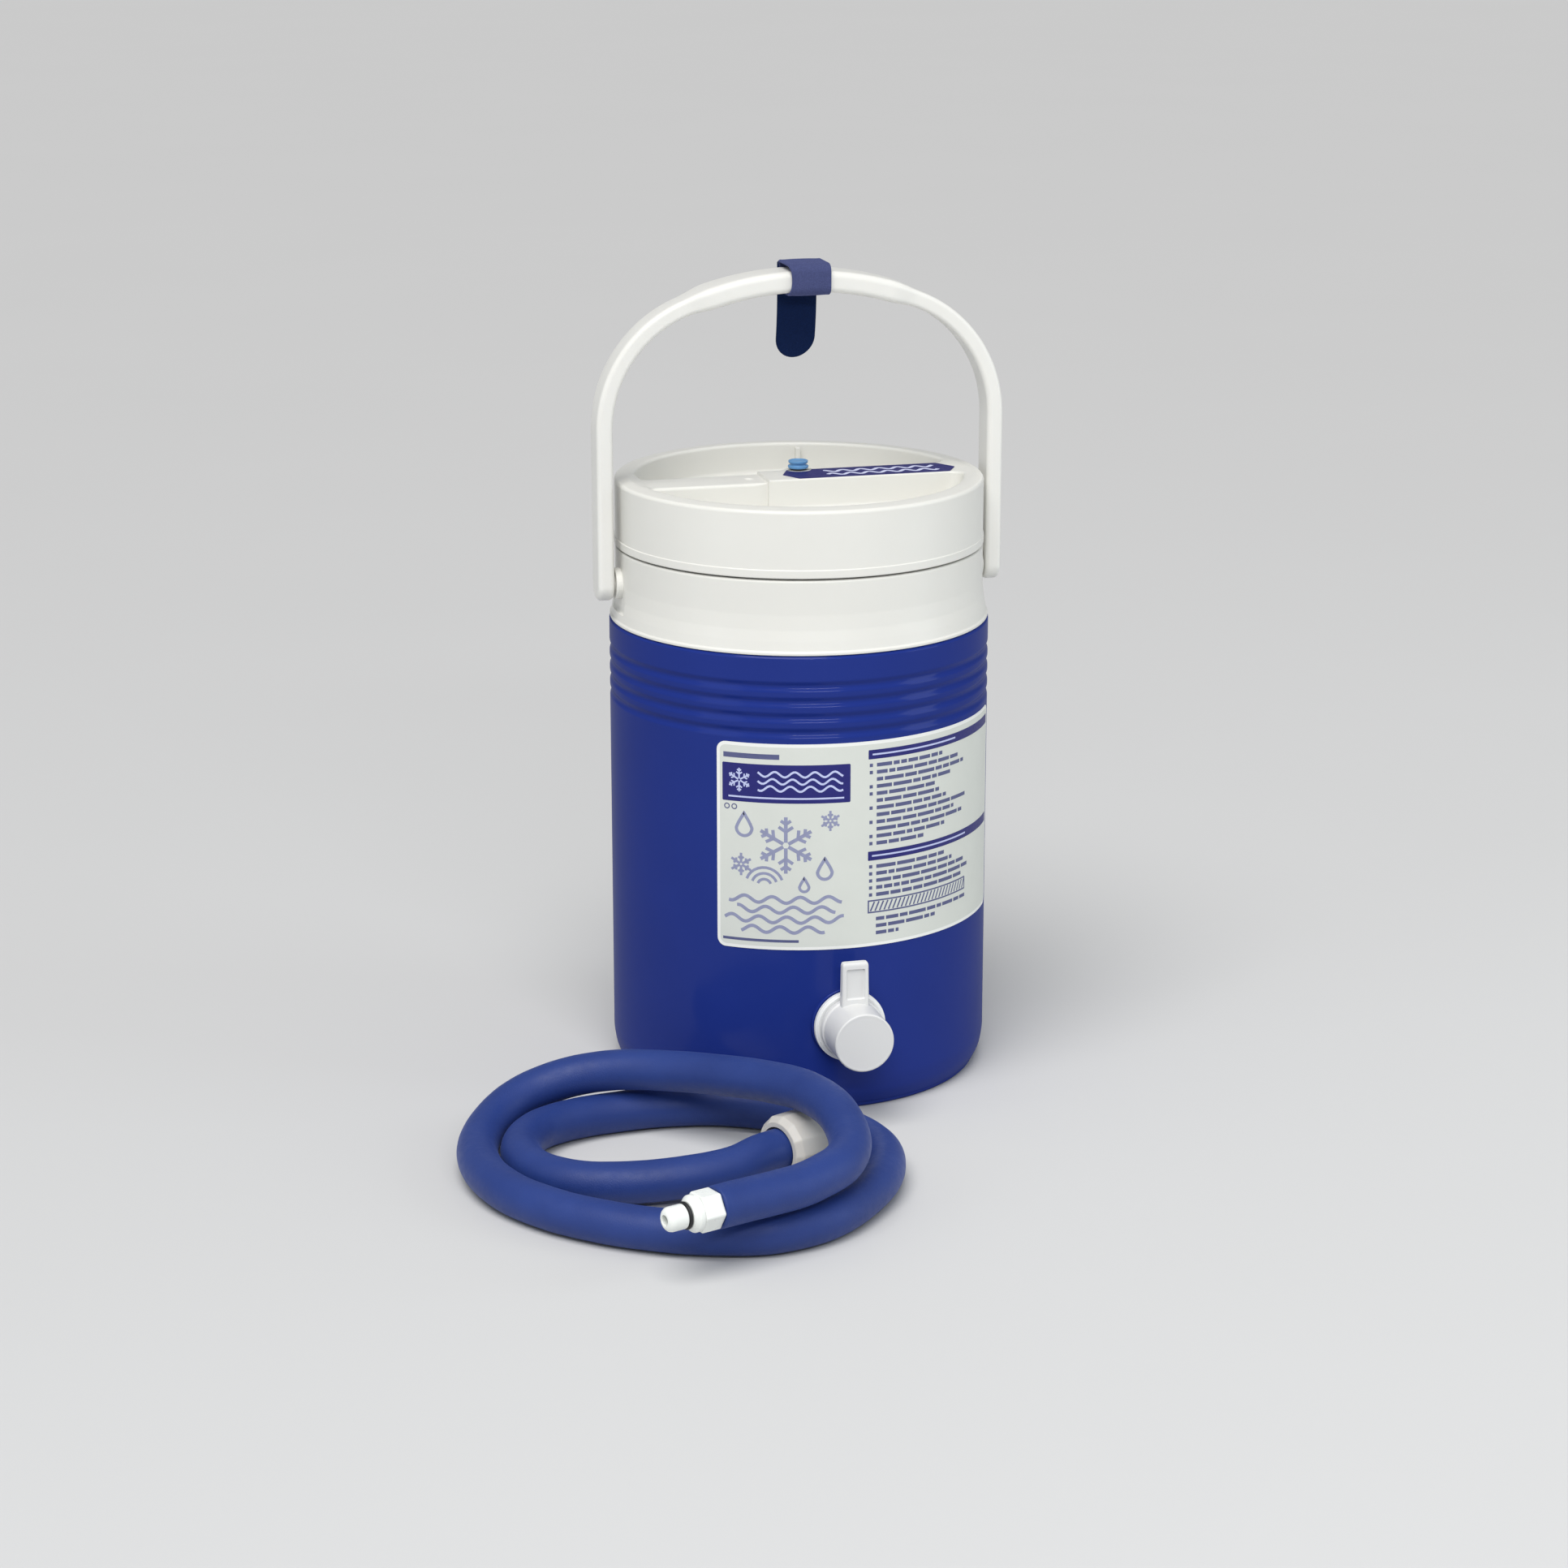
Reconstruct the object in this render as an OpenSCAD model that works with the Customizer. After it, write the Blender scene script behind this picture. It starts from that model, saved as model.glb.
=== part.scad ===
// Gravity-fed cold therapy cooler jug: an insulated jug with a screw lid,
// a swinging carry handle with a hook-and-loop strap, a capped outlet and a
// loose foam-sleeved hose that lies coiled in front of it.
// Millimetres, +Z up, jug axis on Z, base on z = 0, outlet towards -Y.

/* [Jug] */
// Radius of the blue outer shell
body_r = 90; // [86:0.5:94]
// Wall thickness of the outer shell
shell_t = 2.4; // [1.8:0.1:3]
// Outer radius of the inner liner
liner_r = 76.3; // [75:0.1:76.5]
// Wall thickness of the inner liner
liner_t = 2.3; // [1.8:0.1:2.6]
// Height of the top edge of the blue shell
shell_h = 220.5; // [216:0.5:222]
// Depth of the four grip grooves
groove_d = 0.9; // [0.4:0.1:1.2]
// Spacing of the grip grooves
groove_pitch = 7.3; // [6.5:0.1:7.6]

/* [Collar and lid] */
// Radius of the white collar and lid skirt
collar_r = 87; // [86.8:0.1:87.4]
// Height of the collar's top face
collar_top = 255; // [254:0.5:255.5]
// Height of the lid rim
lid_top = 287.5; // [286:0.5:289]
// Inner radius of the lid dish
dish_r = 77.5; // [76:0.5:79]
// Height of the dish floor
dish_z = 272; // [271.5:0.5:274]
// Width of the grip bar across the lid
bar_w = 24; // [20:1:28]

/* [Outlet] */
// Height of the outlet axis
outlet_z = 44; // [40:1:50]
// Radius of the outlet flange
flange_r = 17; // [15:0.5:19]
// Radius of the outlet cap
cap_r = 14; // [13.5:0.1:15]
// Width of the upright tab on the cap
tab_w = 12.6; // [10:0.1:16]

/* [Handle] */
// Height of the handle pivots
pivot_z = 239.5; // [237:0.5:242]
// Radius of the trunnion pins
trunnion_r = 4.5; // [4:0.1:5]
// Centre distance of each arm from the jug axis
arm_x = 94.5; // [94.5:0.5:98]
// Height of the middle of the grip
grip_z = 379; // [370:1:390]

/* [Strap] */
// Width of the strap band
strap_w = 20; // [16:1:24]
// Height of the strap tail's lower end
tail_z = 340; // [338:1:350]

/* [Hose] */
// Outer radius of the foam sleeve
hose_r = 9.4; // [9:0.1:9.4]
// Outer radius of the inner tube
core_r = 6.4; // [6:0.1:6.4]
// Outer radius of the hose nut
nut_r = 15.1; // [14.6:0.1:15.2]

/* [Hidden] */
$fn = 96;

BLUE = [0.13, 0.20, 0.55];
DARK = [0.07, 0.09, 0.35];
WHITE = [0.93, 0.93, 0.90];
RUBBER = [0.12, 0.12, 0.12];
FOAM = [0.95, 0.90, 0.70];

pad_y = body_r + 0.6;            // face of the moulded pad round the outlet
arch_r = 150;                    // radius of the arch's middle line
corner_r = 60;                   // radius of the arch's corners
arch_c = grip_z - arch_r;        // centre height of the arch
arch_a = asin((arm_x - corner_r) / (arch_r - corner_r));
corner_z = arch_c + (arch_r - corner_r) * cos(arch_a);

// Route of the hose: from the coupling, over the back, round the left side,
// across the front, round the right side, under itself and into the nut.
ROUTE = [
  [-105.9, -262, 30.8], [-93.2, -257.41, 30.8], [-77.4, -251.6, 30.5],
  [-64.4, -245.8, 30.4], [-52.4, -238.3, 30.9], [-42.4, -229.6, 31.6],
  [-35.5, -218.7, 33.1], [-32.4, -205.7, 35.6], [-32.9, -191.5, 39.2],
  [-35.6, -176.5, 40.5], [-41.5, -160.2, 40.5], [-52.5, -142.2, 39],
  [-66.1, -124, 36.4], [-80.7, -107.4, 33.6], [-96.1, -93.5, 31.2],
  [-112.5, -83.4, 29], [-129.5, -78.5, 25.7], [-145.7, -78.8, 21.7],
  [-158.5, -84, 17.8], [-168.8, -93.1, 14.1], [-176.8, -106.2, 11.3],
  [-181.8, -122.7, 10], [-182.8, -141.5, 9.7], [-180.2, -160.5, 9.8],
  [-173.4, -178.7, 9.8], [-162.8, -195.4, 9.8], [-149.7, -210.1, 9.8],
  [-134.6, -222.7, 9.9], [-117.3, -233.2, 9.9], [-98.1, -241.1, 9.9],
  [-78.7, -244.7, 9.8], [-61.5, -241.3, 9.7], [-45.6, -233, 9.7],
  [-31, -219.2, 9.9], [-18, -202.6, 10.1], [-9.2, -183.7, 9.7],
  [-6, -162.5, 9.7], [-11.9, -140.1, 9.8], [-24.4, -119.4, 9.9],
  [-41.5, -102.9, 9.9], [-61.5, -92.1, 9.9], [-83.5, -87, 9.9],
  [-106.3, -86.6, 9.7], [-128, -90.2, 9.7], [-145.8, -98.3, 9.9],
  [-157.2, -111.1, 10], [-162.6, -126.1, 9.9], [-162.3, -141.7, 9.7],
  [-156.3, -156.5, 9.8], [-144.7, -168.7, 10.2], [-127.8, -176.1, 10.8],
  [-108.6, -179.4, 11.7], [-90.3, -179.3, 12.5], [-74.8, -176.2, 13.5],
  [-63.12, -170.59, 15.2], [-50.14, -164.13, 15.2]];
nut_dir = [0.895, 0.446, 0];     // from the hose into the nut
nut_at = [-53.9, -166, 15.2];    // rear end of the nut on its axis
nut_yaw = atan2(nut_dir[1], nut_dir[0]);
plug_dir = [-0.94, -0.34, 0];    // from the hose into the coupling
plug_yaw = atan2(plug_dir[1], plug_dir[0]);

// Smooth curve through the route's points
function cr(a, b, c, d, t) = 0.5 * (2*b + (c - a)*t + (2*a - 5*b + 4*c - d)*t*t
  + (3*b - a - 3*c + d)*t*t*t);
function at(P, i) = P[max(0, min(len(P) - 1, i))];
function curve(P, k) = [for (i = [0 : len(P) - 2]) for (j = [0 : k - 1])
  cr(at(P, i-1), P[i], P[i+1], at(P, i+2), j / k), P[len(P) - 1]];
function unit(v) = v / norm(v);
function tang(C, i) = unit(at(C, i + 1) - at(C, i - 1));
function ring(C, i, r, n) = let (t = tang(C, i),
  s = unit(cross([0, 0, 1], t)), u = cross(t, s))
  [for (k = [0 : n - 1]) C[i] + r * cos(360*k/n) * s + r * sin(360*k/n) * u];
function flat(L) = [for (a = L) for (b = a) b];

// Tube along a curve, with an inner bore
module swept(C, ro, ri, n) {
  m = len(C);
  // outer polygon straddles the true radius, inner one stays outside it
  a = ro / cos(180 / n) * 0.99;
  b = ri / cos(180 / n);
  pts = concat(flat([for (i = [0 : m-1]) ring(C, i, a, n)]),
               flat([for (i = [0 : m-1]) ring(C, i, b, n)]));
  o = m * n;
  faces = concat(
    [for (i = [0 : m-2]) for (k = [0 : n-1])
      [i*n + k, i*n + (k+1)%n, (i+1)*n + (k+1)%n, (i+1)*n + k]],
    [for (i = [0 : m-2]) for (k = [0 : n-1])
      [o + i*n + k, o + (i+1)*n + k, o + (i+1)*n + (k+1)%n, o + i*n + (k+1)%n]],
    [for (k = [0 : n-1]) [k, o + k, o + (k+1)%n, (k+1)%n]],
    [for (k = [0 : n-1]) [(m-1)*n + k, (m-1)*n + (k+1)%n,
      o + (m-1)*n + (k+1)%n, o + (m-1)*n + k]]);
  polyhedron(points = pts, faces = faces, convexity = 10);
}

// Ring section with a rounded top outer corner
module rim2d(r0, r1, z0, z1, q) {
  difference() {
    translate([r0, z0]) square([r1 - r0, z1 - z0]);
    translate([r1 - q, z1 - q]) square([q + 1, q + 1]);
  }
  intersection() {
    translate([r1 - q, z1 - q]) circle(q);
    translate([r0, z0]) square([r1 - r0, z1 - z0]);
  }
}
module band(r0, r1, z0, z1) {
  rotate_extrude() translate([r0, z0]) square([r1 - r0, z1 - z0]);
}
module tube(ro, ri, h) {
  difference() { cylinder(r = ro, h = h);
    translate([0, 0, -1]) cylinder(r = ri, h = h + 2); }
}
// Places a part whose axis is +Z so that it points along -Y at the outlet
module at_outlet(y) { translate([0, -y, outlet_z]) rotate([90, 0, 0]) children(); }
module at_nut() { translate(nut_at) rotate([0, 90, nut_yaw]) children(); }
module at_plug() { translate(ROUTE[0]) rotate([0, 90, plug_yaw]) children(); }

// ---------------------------------------------------------------- jug
module outer_shell() color(BLUE) difference() {
  union() {
    rotate_extrude() difference() {
      polygon([[0, 0], [84, 0], [85.4, 1.4], [85.4, 2.6], [86.4, 3],
        [88.3, 7], [89.5, 10.5], [body_r, 14], [body_r, shell_h - 1],
        [body_r - 0.8, shell_h], [body_r - shell_t, shell_h],
        [body_r - shell_t, 14], [84, 4.5], [82, 3], [0, 3]]);
      for (i = [0 : 3]) translate([body_r - groove_d + 3.65,
        206.3 - i * groove_pitch]) circle(3.65);
      // shallow ring under the base, so that it rests on its rim and centre
      translate([24, -1]) square([48, 1.8]);
    }
    intersection() {
      at_outlet(body_r - 8) cylinder(r = flange_r + 0.6, h = 8.6);
      difference() {
        translate([-30, -100, 10]) cube([60, 30, 70]);
        cylinder(r = body_r - shell_t, h = 120);
      }
    }
  }
  at_outlet(60) cylinder(r = 10.3, h = 40);
  translate([0, 48, -1]) cylinder(r = 8, h = 6);
}
module foam_fill_plug() color(BLUE) translate([0, 48, 0]) {
  translate([0, 0, 0.9]) cylinder(r = 7.9, h = 1.9);
  translate([0, 0, 2.8]) cylinder(r = 6, h = 2.4);
}
module inner_liner() color(WHITE) difference() {
  union() {
    rotate_extrude() polygon([[0, 14], [liner_r - 5, 14], [liner_r - 1.5, 15.5],
      [liner_r, 19], [liner_r, 266.1], [80, 266.1], [80, 267.5],
      [liner_r - liner_t, 267.5], [liner_r - liner_t, 20],
      [liner_r - 5.5, 16.4], [0, 16.4]]);
    intersection() {
      at_outlet(72.4) cylinder(r = 14.5, h = 6);
      cylinder(r = liner_r - 0.5, h = 120);
    }
  }
  at_outlet(60) cylinder(r = 10.3, h = 40);
}
module insulation_foam() color(FOAM) difference() {
  translate([0, 0, 5.4]) cylinder(r = 80, h = 8.4);
  translate([0, 48, 0]) cylinder(r = 6.3, h = 6);
}
module foam_jacket() difference() {
  rotate_extrude() polygon([[liner_r + 0.2, 15], [86.4, 15],
    [87.3, 18], [87.3, 220.4], [84.3, 220.4], [84.3, 245.6], [liner_r + 0.2, 245.6]]);
  at_outlet(60) cylinder(r = 10.8, h = 40);
}
module collar() color(WHITE) difference() {
  union() {
    rotate_extrude() {
      difference() {
        polygon([[collar_r - 2.4, 220.8], [body_r - 0.3, 220.8],
          [body_r - 0.3, 222.4], [collar_r + 1.4, 227], [collar_r + 0.5, 232],
          [collar_r, 238], [collar_r, collar_top - 1],
          [collar_r - 1, collar_top], [79, collar_top], [79, 252.4],
          [collar_r - 2.4, 252.4]]);
      }
      polygon([[77.1, 246], [80, 246], [80, 266], [77.1, 266]]);
      polygon([[79.5, 261.5], [81, 261.9], [81.6, 262.6], [81.6, 263.2],
        [81, 263.9], [79.5, 264.3]]);
    }
    for (s = [-1, 1]) scale1(s) {
      translate([84.8, 0, pivot_z]) rotate([0, 90, 0])
        cylinder(r = trunnion_r, h = 95.4 - 84.8);
      translate([84.8, 0, pivot_z]) rotate([0, 90, 0])
        cylinder(r = 7.4, h = 89.7 - 84.8);
    }
  }
  for (s = [-1, 1]) scale1(s) difference() {
    translate([86.7, -11.5, 226]) cube([6, 23, 31]);
    translate([80, 0, pivot_z]) rotate([0, 90, 0]) cylinder(r = 7.4, h = 20);
  }
}
module scale1(s) { mirror([s < 0 ? 1 : 0, 0, 0]) children(); }
module front_label() color([0.87, 0.90, 0.86])
  rotate([0, 0, -90 - 39.5]) rotate_extrude(angle = 105.5)
    translate([body_r, 81]) square([0.3, 98.5]);

// ---------------------------------------------------------------- outlet
module outlet_washer() color(RUBBER) at_outlet(pad_y) tube(16, 10.4, 1);
module outlet_fitting() color(WHITE) difference() {
  union() {
    at_outlet(63.5) cylinder(r = 10, h = pad_y + 1 - 63.5 + 0.5);
    at_outlet(pad_y + 1) cylinder(r = flange_r, h = 2.4);
    at_outlet(pad_y + 3.4) cylinder(r = flange_r - 0.8, h = 0.8);
    at_outlet(pad_y + 4) cylinder(r = 10.6, h = 113.7 - pad_y - 4);
    for (y = [101, 105.5, 110]) at_outlet(y) cylinder(r = 11, h = 1.6);
  }
  at_outlet(60) cylinder(r = 7, h = 60);
}
module inner_washer() color(RUBBER) at_outlet(70.3) tube(14, 10.3, 2);
module outlet_locknut() color(WHITE) at_outlet(64.3) difference() {
  cylinder(r = 15.5, h = 5.9, $fn = 6);
  translate([0, 0, -1]) cylinder(r = 10.15, h = 9);
}
module cap_seal() color(RUBBER) at_outlet(113.9) cylinder(r = 11.1, h = 2);
module outlet_cap() color(WHITE) difference() {
  union() {
    at_outlet(95.4) cylinder(r = cap_r + 0.8, h = 3);
    at_outlet(98) cylinder(r = cap_r, h = 18.7);
    at_outlet(0) rotate_extrude() {
      translate([cap_r - 2, 116.5]) intersection() {
        circle(2); translate([0, -1]) square([3, 4]); }
      translate([0, 115.5]) square([cap_r - 1.9, 3]);
    }
    difference() {
      translate([-tab_w / 2, -103, outlet_z + 10]) cube([tab_w, 5, 23.7]);
      // shallow panel in the front of the tab, open at its lower end
      translate([-tab_w / 2 + 2, -104, outlet_z + 14]) cube([tab_w - 4, 1.8, 17.2]);
    }
  }
  at_outlet(95) cylinder(r = 11.6, h = 21);
}

// ---------------------------------------------------------------- lid
module lid_gasket() color(RUBBER) band(74.4, 79.8, 267.6, 269.4);
module lid_shell() color(WHITE) difference() {
  union() {
    rotate_extrude() {
      difference() {
        rim2d(dish_r, collar_r, 255.9, lid_top, 3.2);
        translate([dish_r - 1, 200]) square([7 + dish_r - 77.5 + 0.5, 69.5]);
        translate([80, 250]) square([4.6, lid_top - 250 - 3]);
      }
      translate([dish_r, 269.5]) square([2.5, 14]);
      polygon([[85, 258.6], [83, 259.2], [82.3, 259.8], [82.3, 260.4],
        [83, 261], [85, 261.6]]);
      // fine step low on the skirt
      translate([collar_r - 1, 255.9]) square([1.35, 4]);
    }
    translate([0, 0, 269.5]) cylinder(r = dish_r + 1, h = dish_z - 269.5);
    intersection() {
      union() {
        translate([-80, -bar_w / 2, 269.5]) cube([160, bar_w, 17.5]);
        translate([2.5, 10.5, 269.5]) cylinder(r = 7.6, h = 17.5);
      }
      cylinder(r = dish_r + 1, h = 400);
    }
    // short rib on the far wall of the dish
    translate([18, 72.6, 269.5]) cube([2.4, 5, 16]);
  }
  // hollow inside of the bar
  translate([-74, -bar_w / 2 + 2.6, 268]) cube([148, bar_w - 5.2, 16.6]);
  // lower, narrower finger part left of the step
  translate([-76, -bar_w / 2 - 1, 272.5]) cube([58.5, 2.6, 20]);
  translate([-76, -20, 285.6]) cube([58.5, 40, 10]);
  translate([2.5, 10.5, 260]) cylinder(r = 2.9, h = 40);
  // small round dimple
  translate([-24, 1, 284.9]) cylinder(r = 2.2, h = 10);
}
module lid_label() color(DARK) translate([0, -1, 287]) linear_extrude(0.25)
  difference() {
    polygon([[-8, 0], [-2.5, -10.2], [72, -10.2], [77, -1.5], [71, 10.4],
      [-2.5, 10.4]]);
    translate([2.5, 11.5]) circle(6.2);
  }
module lid_liner() color(WHITE) difference() {
  union() { band(70.9, 72.9, 250, 269.4); translate([0, 0, 250]) cylinder(r = 72, h = 2); }
  translate([2.5, 10.5, 240]) cylinder(r = 2, h = 20);
}
module lid_foam() color(FOAM) difference() {
  translate([0, 0, 252.1]) cylinder(r = 70.7, h = 17.2);
  translate([2.5, 10.5, 240]) cylinder(r = 2, h = 40);
}
module vent_plug() color([0.40, 0.58, 0.80]) translate([2.5, 10.5, 0]) {
  translate([0, 0, 288]) cylinder(r = 4.9, h = 1.3);
  translate([0, 0, 289.2]) cylinder(r = 4, h = 1.2);
  translate([0, 0, 290.3]) cylinder(r = 4.6, h = 1.3);
  translate([0, 0, 280]) cylinder(r = 2.5, h = 8.5);
}
module vent_oring() color(RUBBER) translate([2.5, 10.5, 287.5])
  rotate_extrude() translate([3.4, 0]) circle(0.45);

// ---------------------------------------------------------------- handle
module arch2d(g) {
  // closed outline of the bail, g is the offset from its middle line
  intersection() {
    translate([0, arch_c]) circle(arch_r + g);
    translate([-(arch_r + g) * sin(arch_a), 0])
      square([2 * (arch_r + g) * sin(arch_a), 500]);
    translate([-200, corner_z]) square([400, 300]);
  }
  for (s = [-1, 1]) translate([s * (arm_x - corner_r), corner_z]) circle(corner_r + g);
  translate([-arm_x - g, pivot_z - 20]) square([2 * (arm_x + g), corner_z - pivot_z + 20]);
}
module handle() color(WHITE) difference() {
  union() {
    intersection() {
      translate([0, 7.75, 0]) rotate([90, 0, 0]) linear_extrude(15.5)
        difference() { arch2d(4); arch2d(-4); }
      union() {
        translate([-120, -20, pivot_z]) cube([240, 40, 200]);
        for (s = [-1, 1]) scale1(s) translate([85, 0, pivot_z])
          rotate([0, 90, 0]) cylinder(r = 7.75, h = 20);
      }
    }
    // wider, thicker grip
    translate([0, 0, arch_c]) rotate([90, 0, 0]) rotate([0, 0, 90 - 19])
      rotate_extrude(angle = 38) grip2d();
  }
  for (s = [-1, 1]) scale1(s) translate([88, 0, pivot_z]) rotate([0, 90, 0])
    cylinder(r = trunnion_r + 0.08, h = 7.9);
}
module grip2d() {
  translate([arch_r - 5, -7]) square([10, 14]);
  translate([arch_r - 2, -10]) square([4, 20]);
  for (a = [-3, 3], b = [-7, 7]) translate([arch_r + (a < 0 ? -2 : 2), b]) circle(3);
}
module strap_loop() color([0.30, 0.34, 0.60]) difference() {
  translate([-7.5, -12, 372.2]) cube([strap_w, 24, 15.2]);
  translate([-9, -10.4, 373.3]) cube([strap_w + 4, 20.8, 12.8]);
}
module strap_hook_patch() color(DARK)
  translate([-6, 12.05, 374]) cube([17, 0.5, 10]);
module strap_tail() color(DARK) translate([2.5, 14, 0]) rotate([90, 0, 0])
  linear_extrude(1.4) {
    translate([-9.5, tail_z + 9.5]) square([19, 386 - tail_z - 9.5]);
    translate([0, tail_z + 9.5]) circle(9.5);
  }

// ---------------------------------------------------------------- hose
module hose_sleeve() color([0.20, 0.28, 0.58]) swept(curve(ROUTE, 1), hose_r, core_r + 0.35, 12);
module hose_tube() color([0.85, 0.90, 0.95]) swept(curve(ROUTE, 1), core_r - 0.25, 4.75, 8);
module hose_nut() color([0.90, 0.89, 0.84]) at_nut() difference() {
  union() {
    // twelve flats, with one corner straight down
    cylinder(r1 = nut_r - 1.9, r2 = nut_r, h = 3, $fn = 12);
    translate([0, 0, 2.99]) cylinder(r = nut_r, h = 14.8, $fn = 12);
    translate([0, 0, 17.78]) cylinder(r1 = nut_r, r2 = nut_r - 0.6, h = 0.72, $fn = 12);
  }
  translate([0, 0, -1]) cylinder(r = 10.4, h = 6.2);
  translate([0, 0, -1]) cylinder(r = 8.1, h = 20);
  translate([0, 0, 7]) cylinder(r = 12.4, h = 12);
}
module nut_tailpiece() color(WHITE) at_nut() difference() {
  union() {
    translate([0, 0, -9]) cylinder(r = 4.5, h = 14);
    translate([0, 0, 4.4]) cylinder(r = 8, h = 3.2);
    translate([0, 0, 7.2]) cylinder(r = 11.8, h = 2);
  }
  translate([0, 0, -20]) cylinder(r = 3.2, h = 40);
}
module nut_washer() color(RUBBER) at_nut() translate([0, 0, 9.2]) tube(12, 6, 2);
module coupling_body() color(WHITE) at_plug() difference() {
  union() {
    translate([0, 0, -11]) cylinder(r = 4.5, h = 12);
    translate([0, 0, 0.2]) rotate([0, 0, 30]) cylinder(r = 9.2, h = 9.6, $fn = 6);
    translate([0, 0, 9.7]) cylinder(r = 8.1, h = 2.3);
    translate([0, 0, 11.9]) cylinder(r1 = 8.1, r2 = 6.3, h = 2);
    translate([0, 0, 13.8]) cylinder(r = 6.2, h = 0.6);
    translate([0, 0, 14.3]) cylinder(r = 4.4, h = 2.2);
    translate([0, 0, 16.3]) cylinder(r = 5.4, h = 7);
    translate([0, 0, 23.1]) rotate_extrude() {
      square([3.4, 2.2]);
      intersection() { translate([3.2, 0]) circle(2.2); square([6, 3]); }
    }
  }
  translate([0, 0, -20]) cylinder(r = 2.4, h = 60);
}
module coupling_oring() color(RUBBER) at_plug() translate([0, 0, 15.35])
  rotate_extrude() translate([5.25, 0]) circle(0.8);

outer_shell();
inner_liner();
union() { insulation_foam(); color(FOAM) foam_jacket(); }
foam_fill_plug();
collar();
front_label();
outlet_fitting();
outlet_washer();
inner_washer();
outlet_locknut();
cap_seal();
outlet_cap();
lid_gasket();
lid_shell();
lid_foam();
lid_liner();
lid_label();
vent_plug();
vent_oring();
handle();
strap_loop();
strap_hook_patch();
strap_tail();
hose_sleeve();
hose_tube();
nut_tailpiece();
nut_washer();
hose_nut();
coupling_body();
coupling_oring();
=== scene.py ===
"""Looks of the cold therapy jug: rounded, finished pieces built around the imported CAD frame.

Lengths in the helpers and tables below are millimetres; every mesh is written in metres.
"""

import math
from math import cos, degrees, hypot, pi, radians, sin, sqrt

import bmesh
import bpy
from mathutils import Matrix, Vector
from mathutils.geometry import delaunay_2d_cdt


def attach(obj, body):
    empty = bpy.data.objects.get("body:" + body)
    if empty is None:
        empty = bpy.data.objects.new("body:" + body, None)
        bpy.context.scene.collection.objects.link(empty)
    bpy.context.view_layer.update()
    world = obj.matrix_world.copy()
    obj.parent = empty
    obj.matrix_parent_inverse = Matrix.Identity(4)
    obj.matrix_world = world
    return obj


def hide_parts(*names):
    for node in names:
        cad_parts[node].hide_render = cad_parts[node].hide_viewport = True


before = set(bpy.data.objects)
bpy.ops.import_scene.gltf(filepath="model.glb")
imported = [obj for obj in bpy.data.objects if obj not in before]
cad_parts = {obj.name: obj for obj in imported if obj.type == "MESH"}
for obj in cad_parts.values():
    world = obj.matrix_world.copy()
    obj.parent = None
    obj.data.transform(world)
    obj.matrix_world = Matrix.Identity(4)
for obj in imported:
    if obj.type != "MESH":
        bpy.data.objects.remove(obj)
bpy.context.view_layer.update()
MM = 0.001
scene = bpy.context.scene

# ------------------------------------------------------------------ camera
U = Vector((cos(radians(15)), -sin(radians(15)), 0))
D = Vector((sin(radians(15)), cos(radians(15)), 0))
cam = bpy.data.objects.new("camera", bpy.data.cameras.new("camera"))
scene.collection.objects.link(cam)
cam.location = -1.748 * D + Vector((0, 0, 0.6303))
look = -0.00383 * U + cos(radians(15.81)) * D - sin(radians(15.81)) * Vector((0, 0, 1))
cam.rotation_mode = "QUATERNION"
cam.rotation_quaternion = look.normalized().to_track_quat("-Z", "Y")
cam.data.sensor_width = 36
cam.data.lens = 86.59
cam.data.clip_start, cam.data.clip_end = 0.05, 100
scene.camera = cam


# ------------------------------------------------------------------ materials
def srgb(r, g, b):
    """8-bit sRGB to a linear RGBA colour."""
    return tuple((c / 255 / 12.92) if c <= 10.3 else ((c / 255 + 0.055) / 1.055) ** 2.4 for c in (r, g, b)) + (1.0,)


def tint(c, k):
    return tuple(min(1.0, x * k) for x in c[:3]) + (1.0,)


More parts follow.
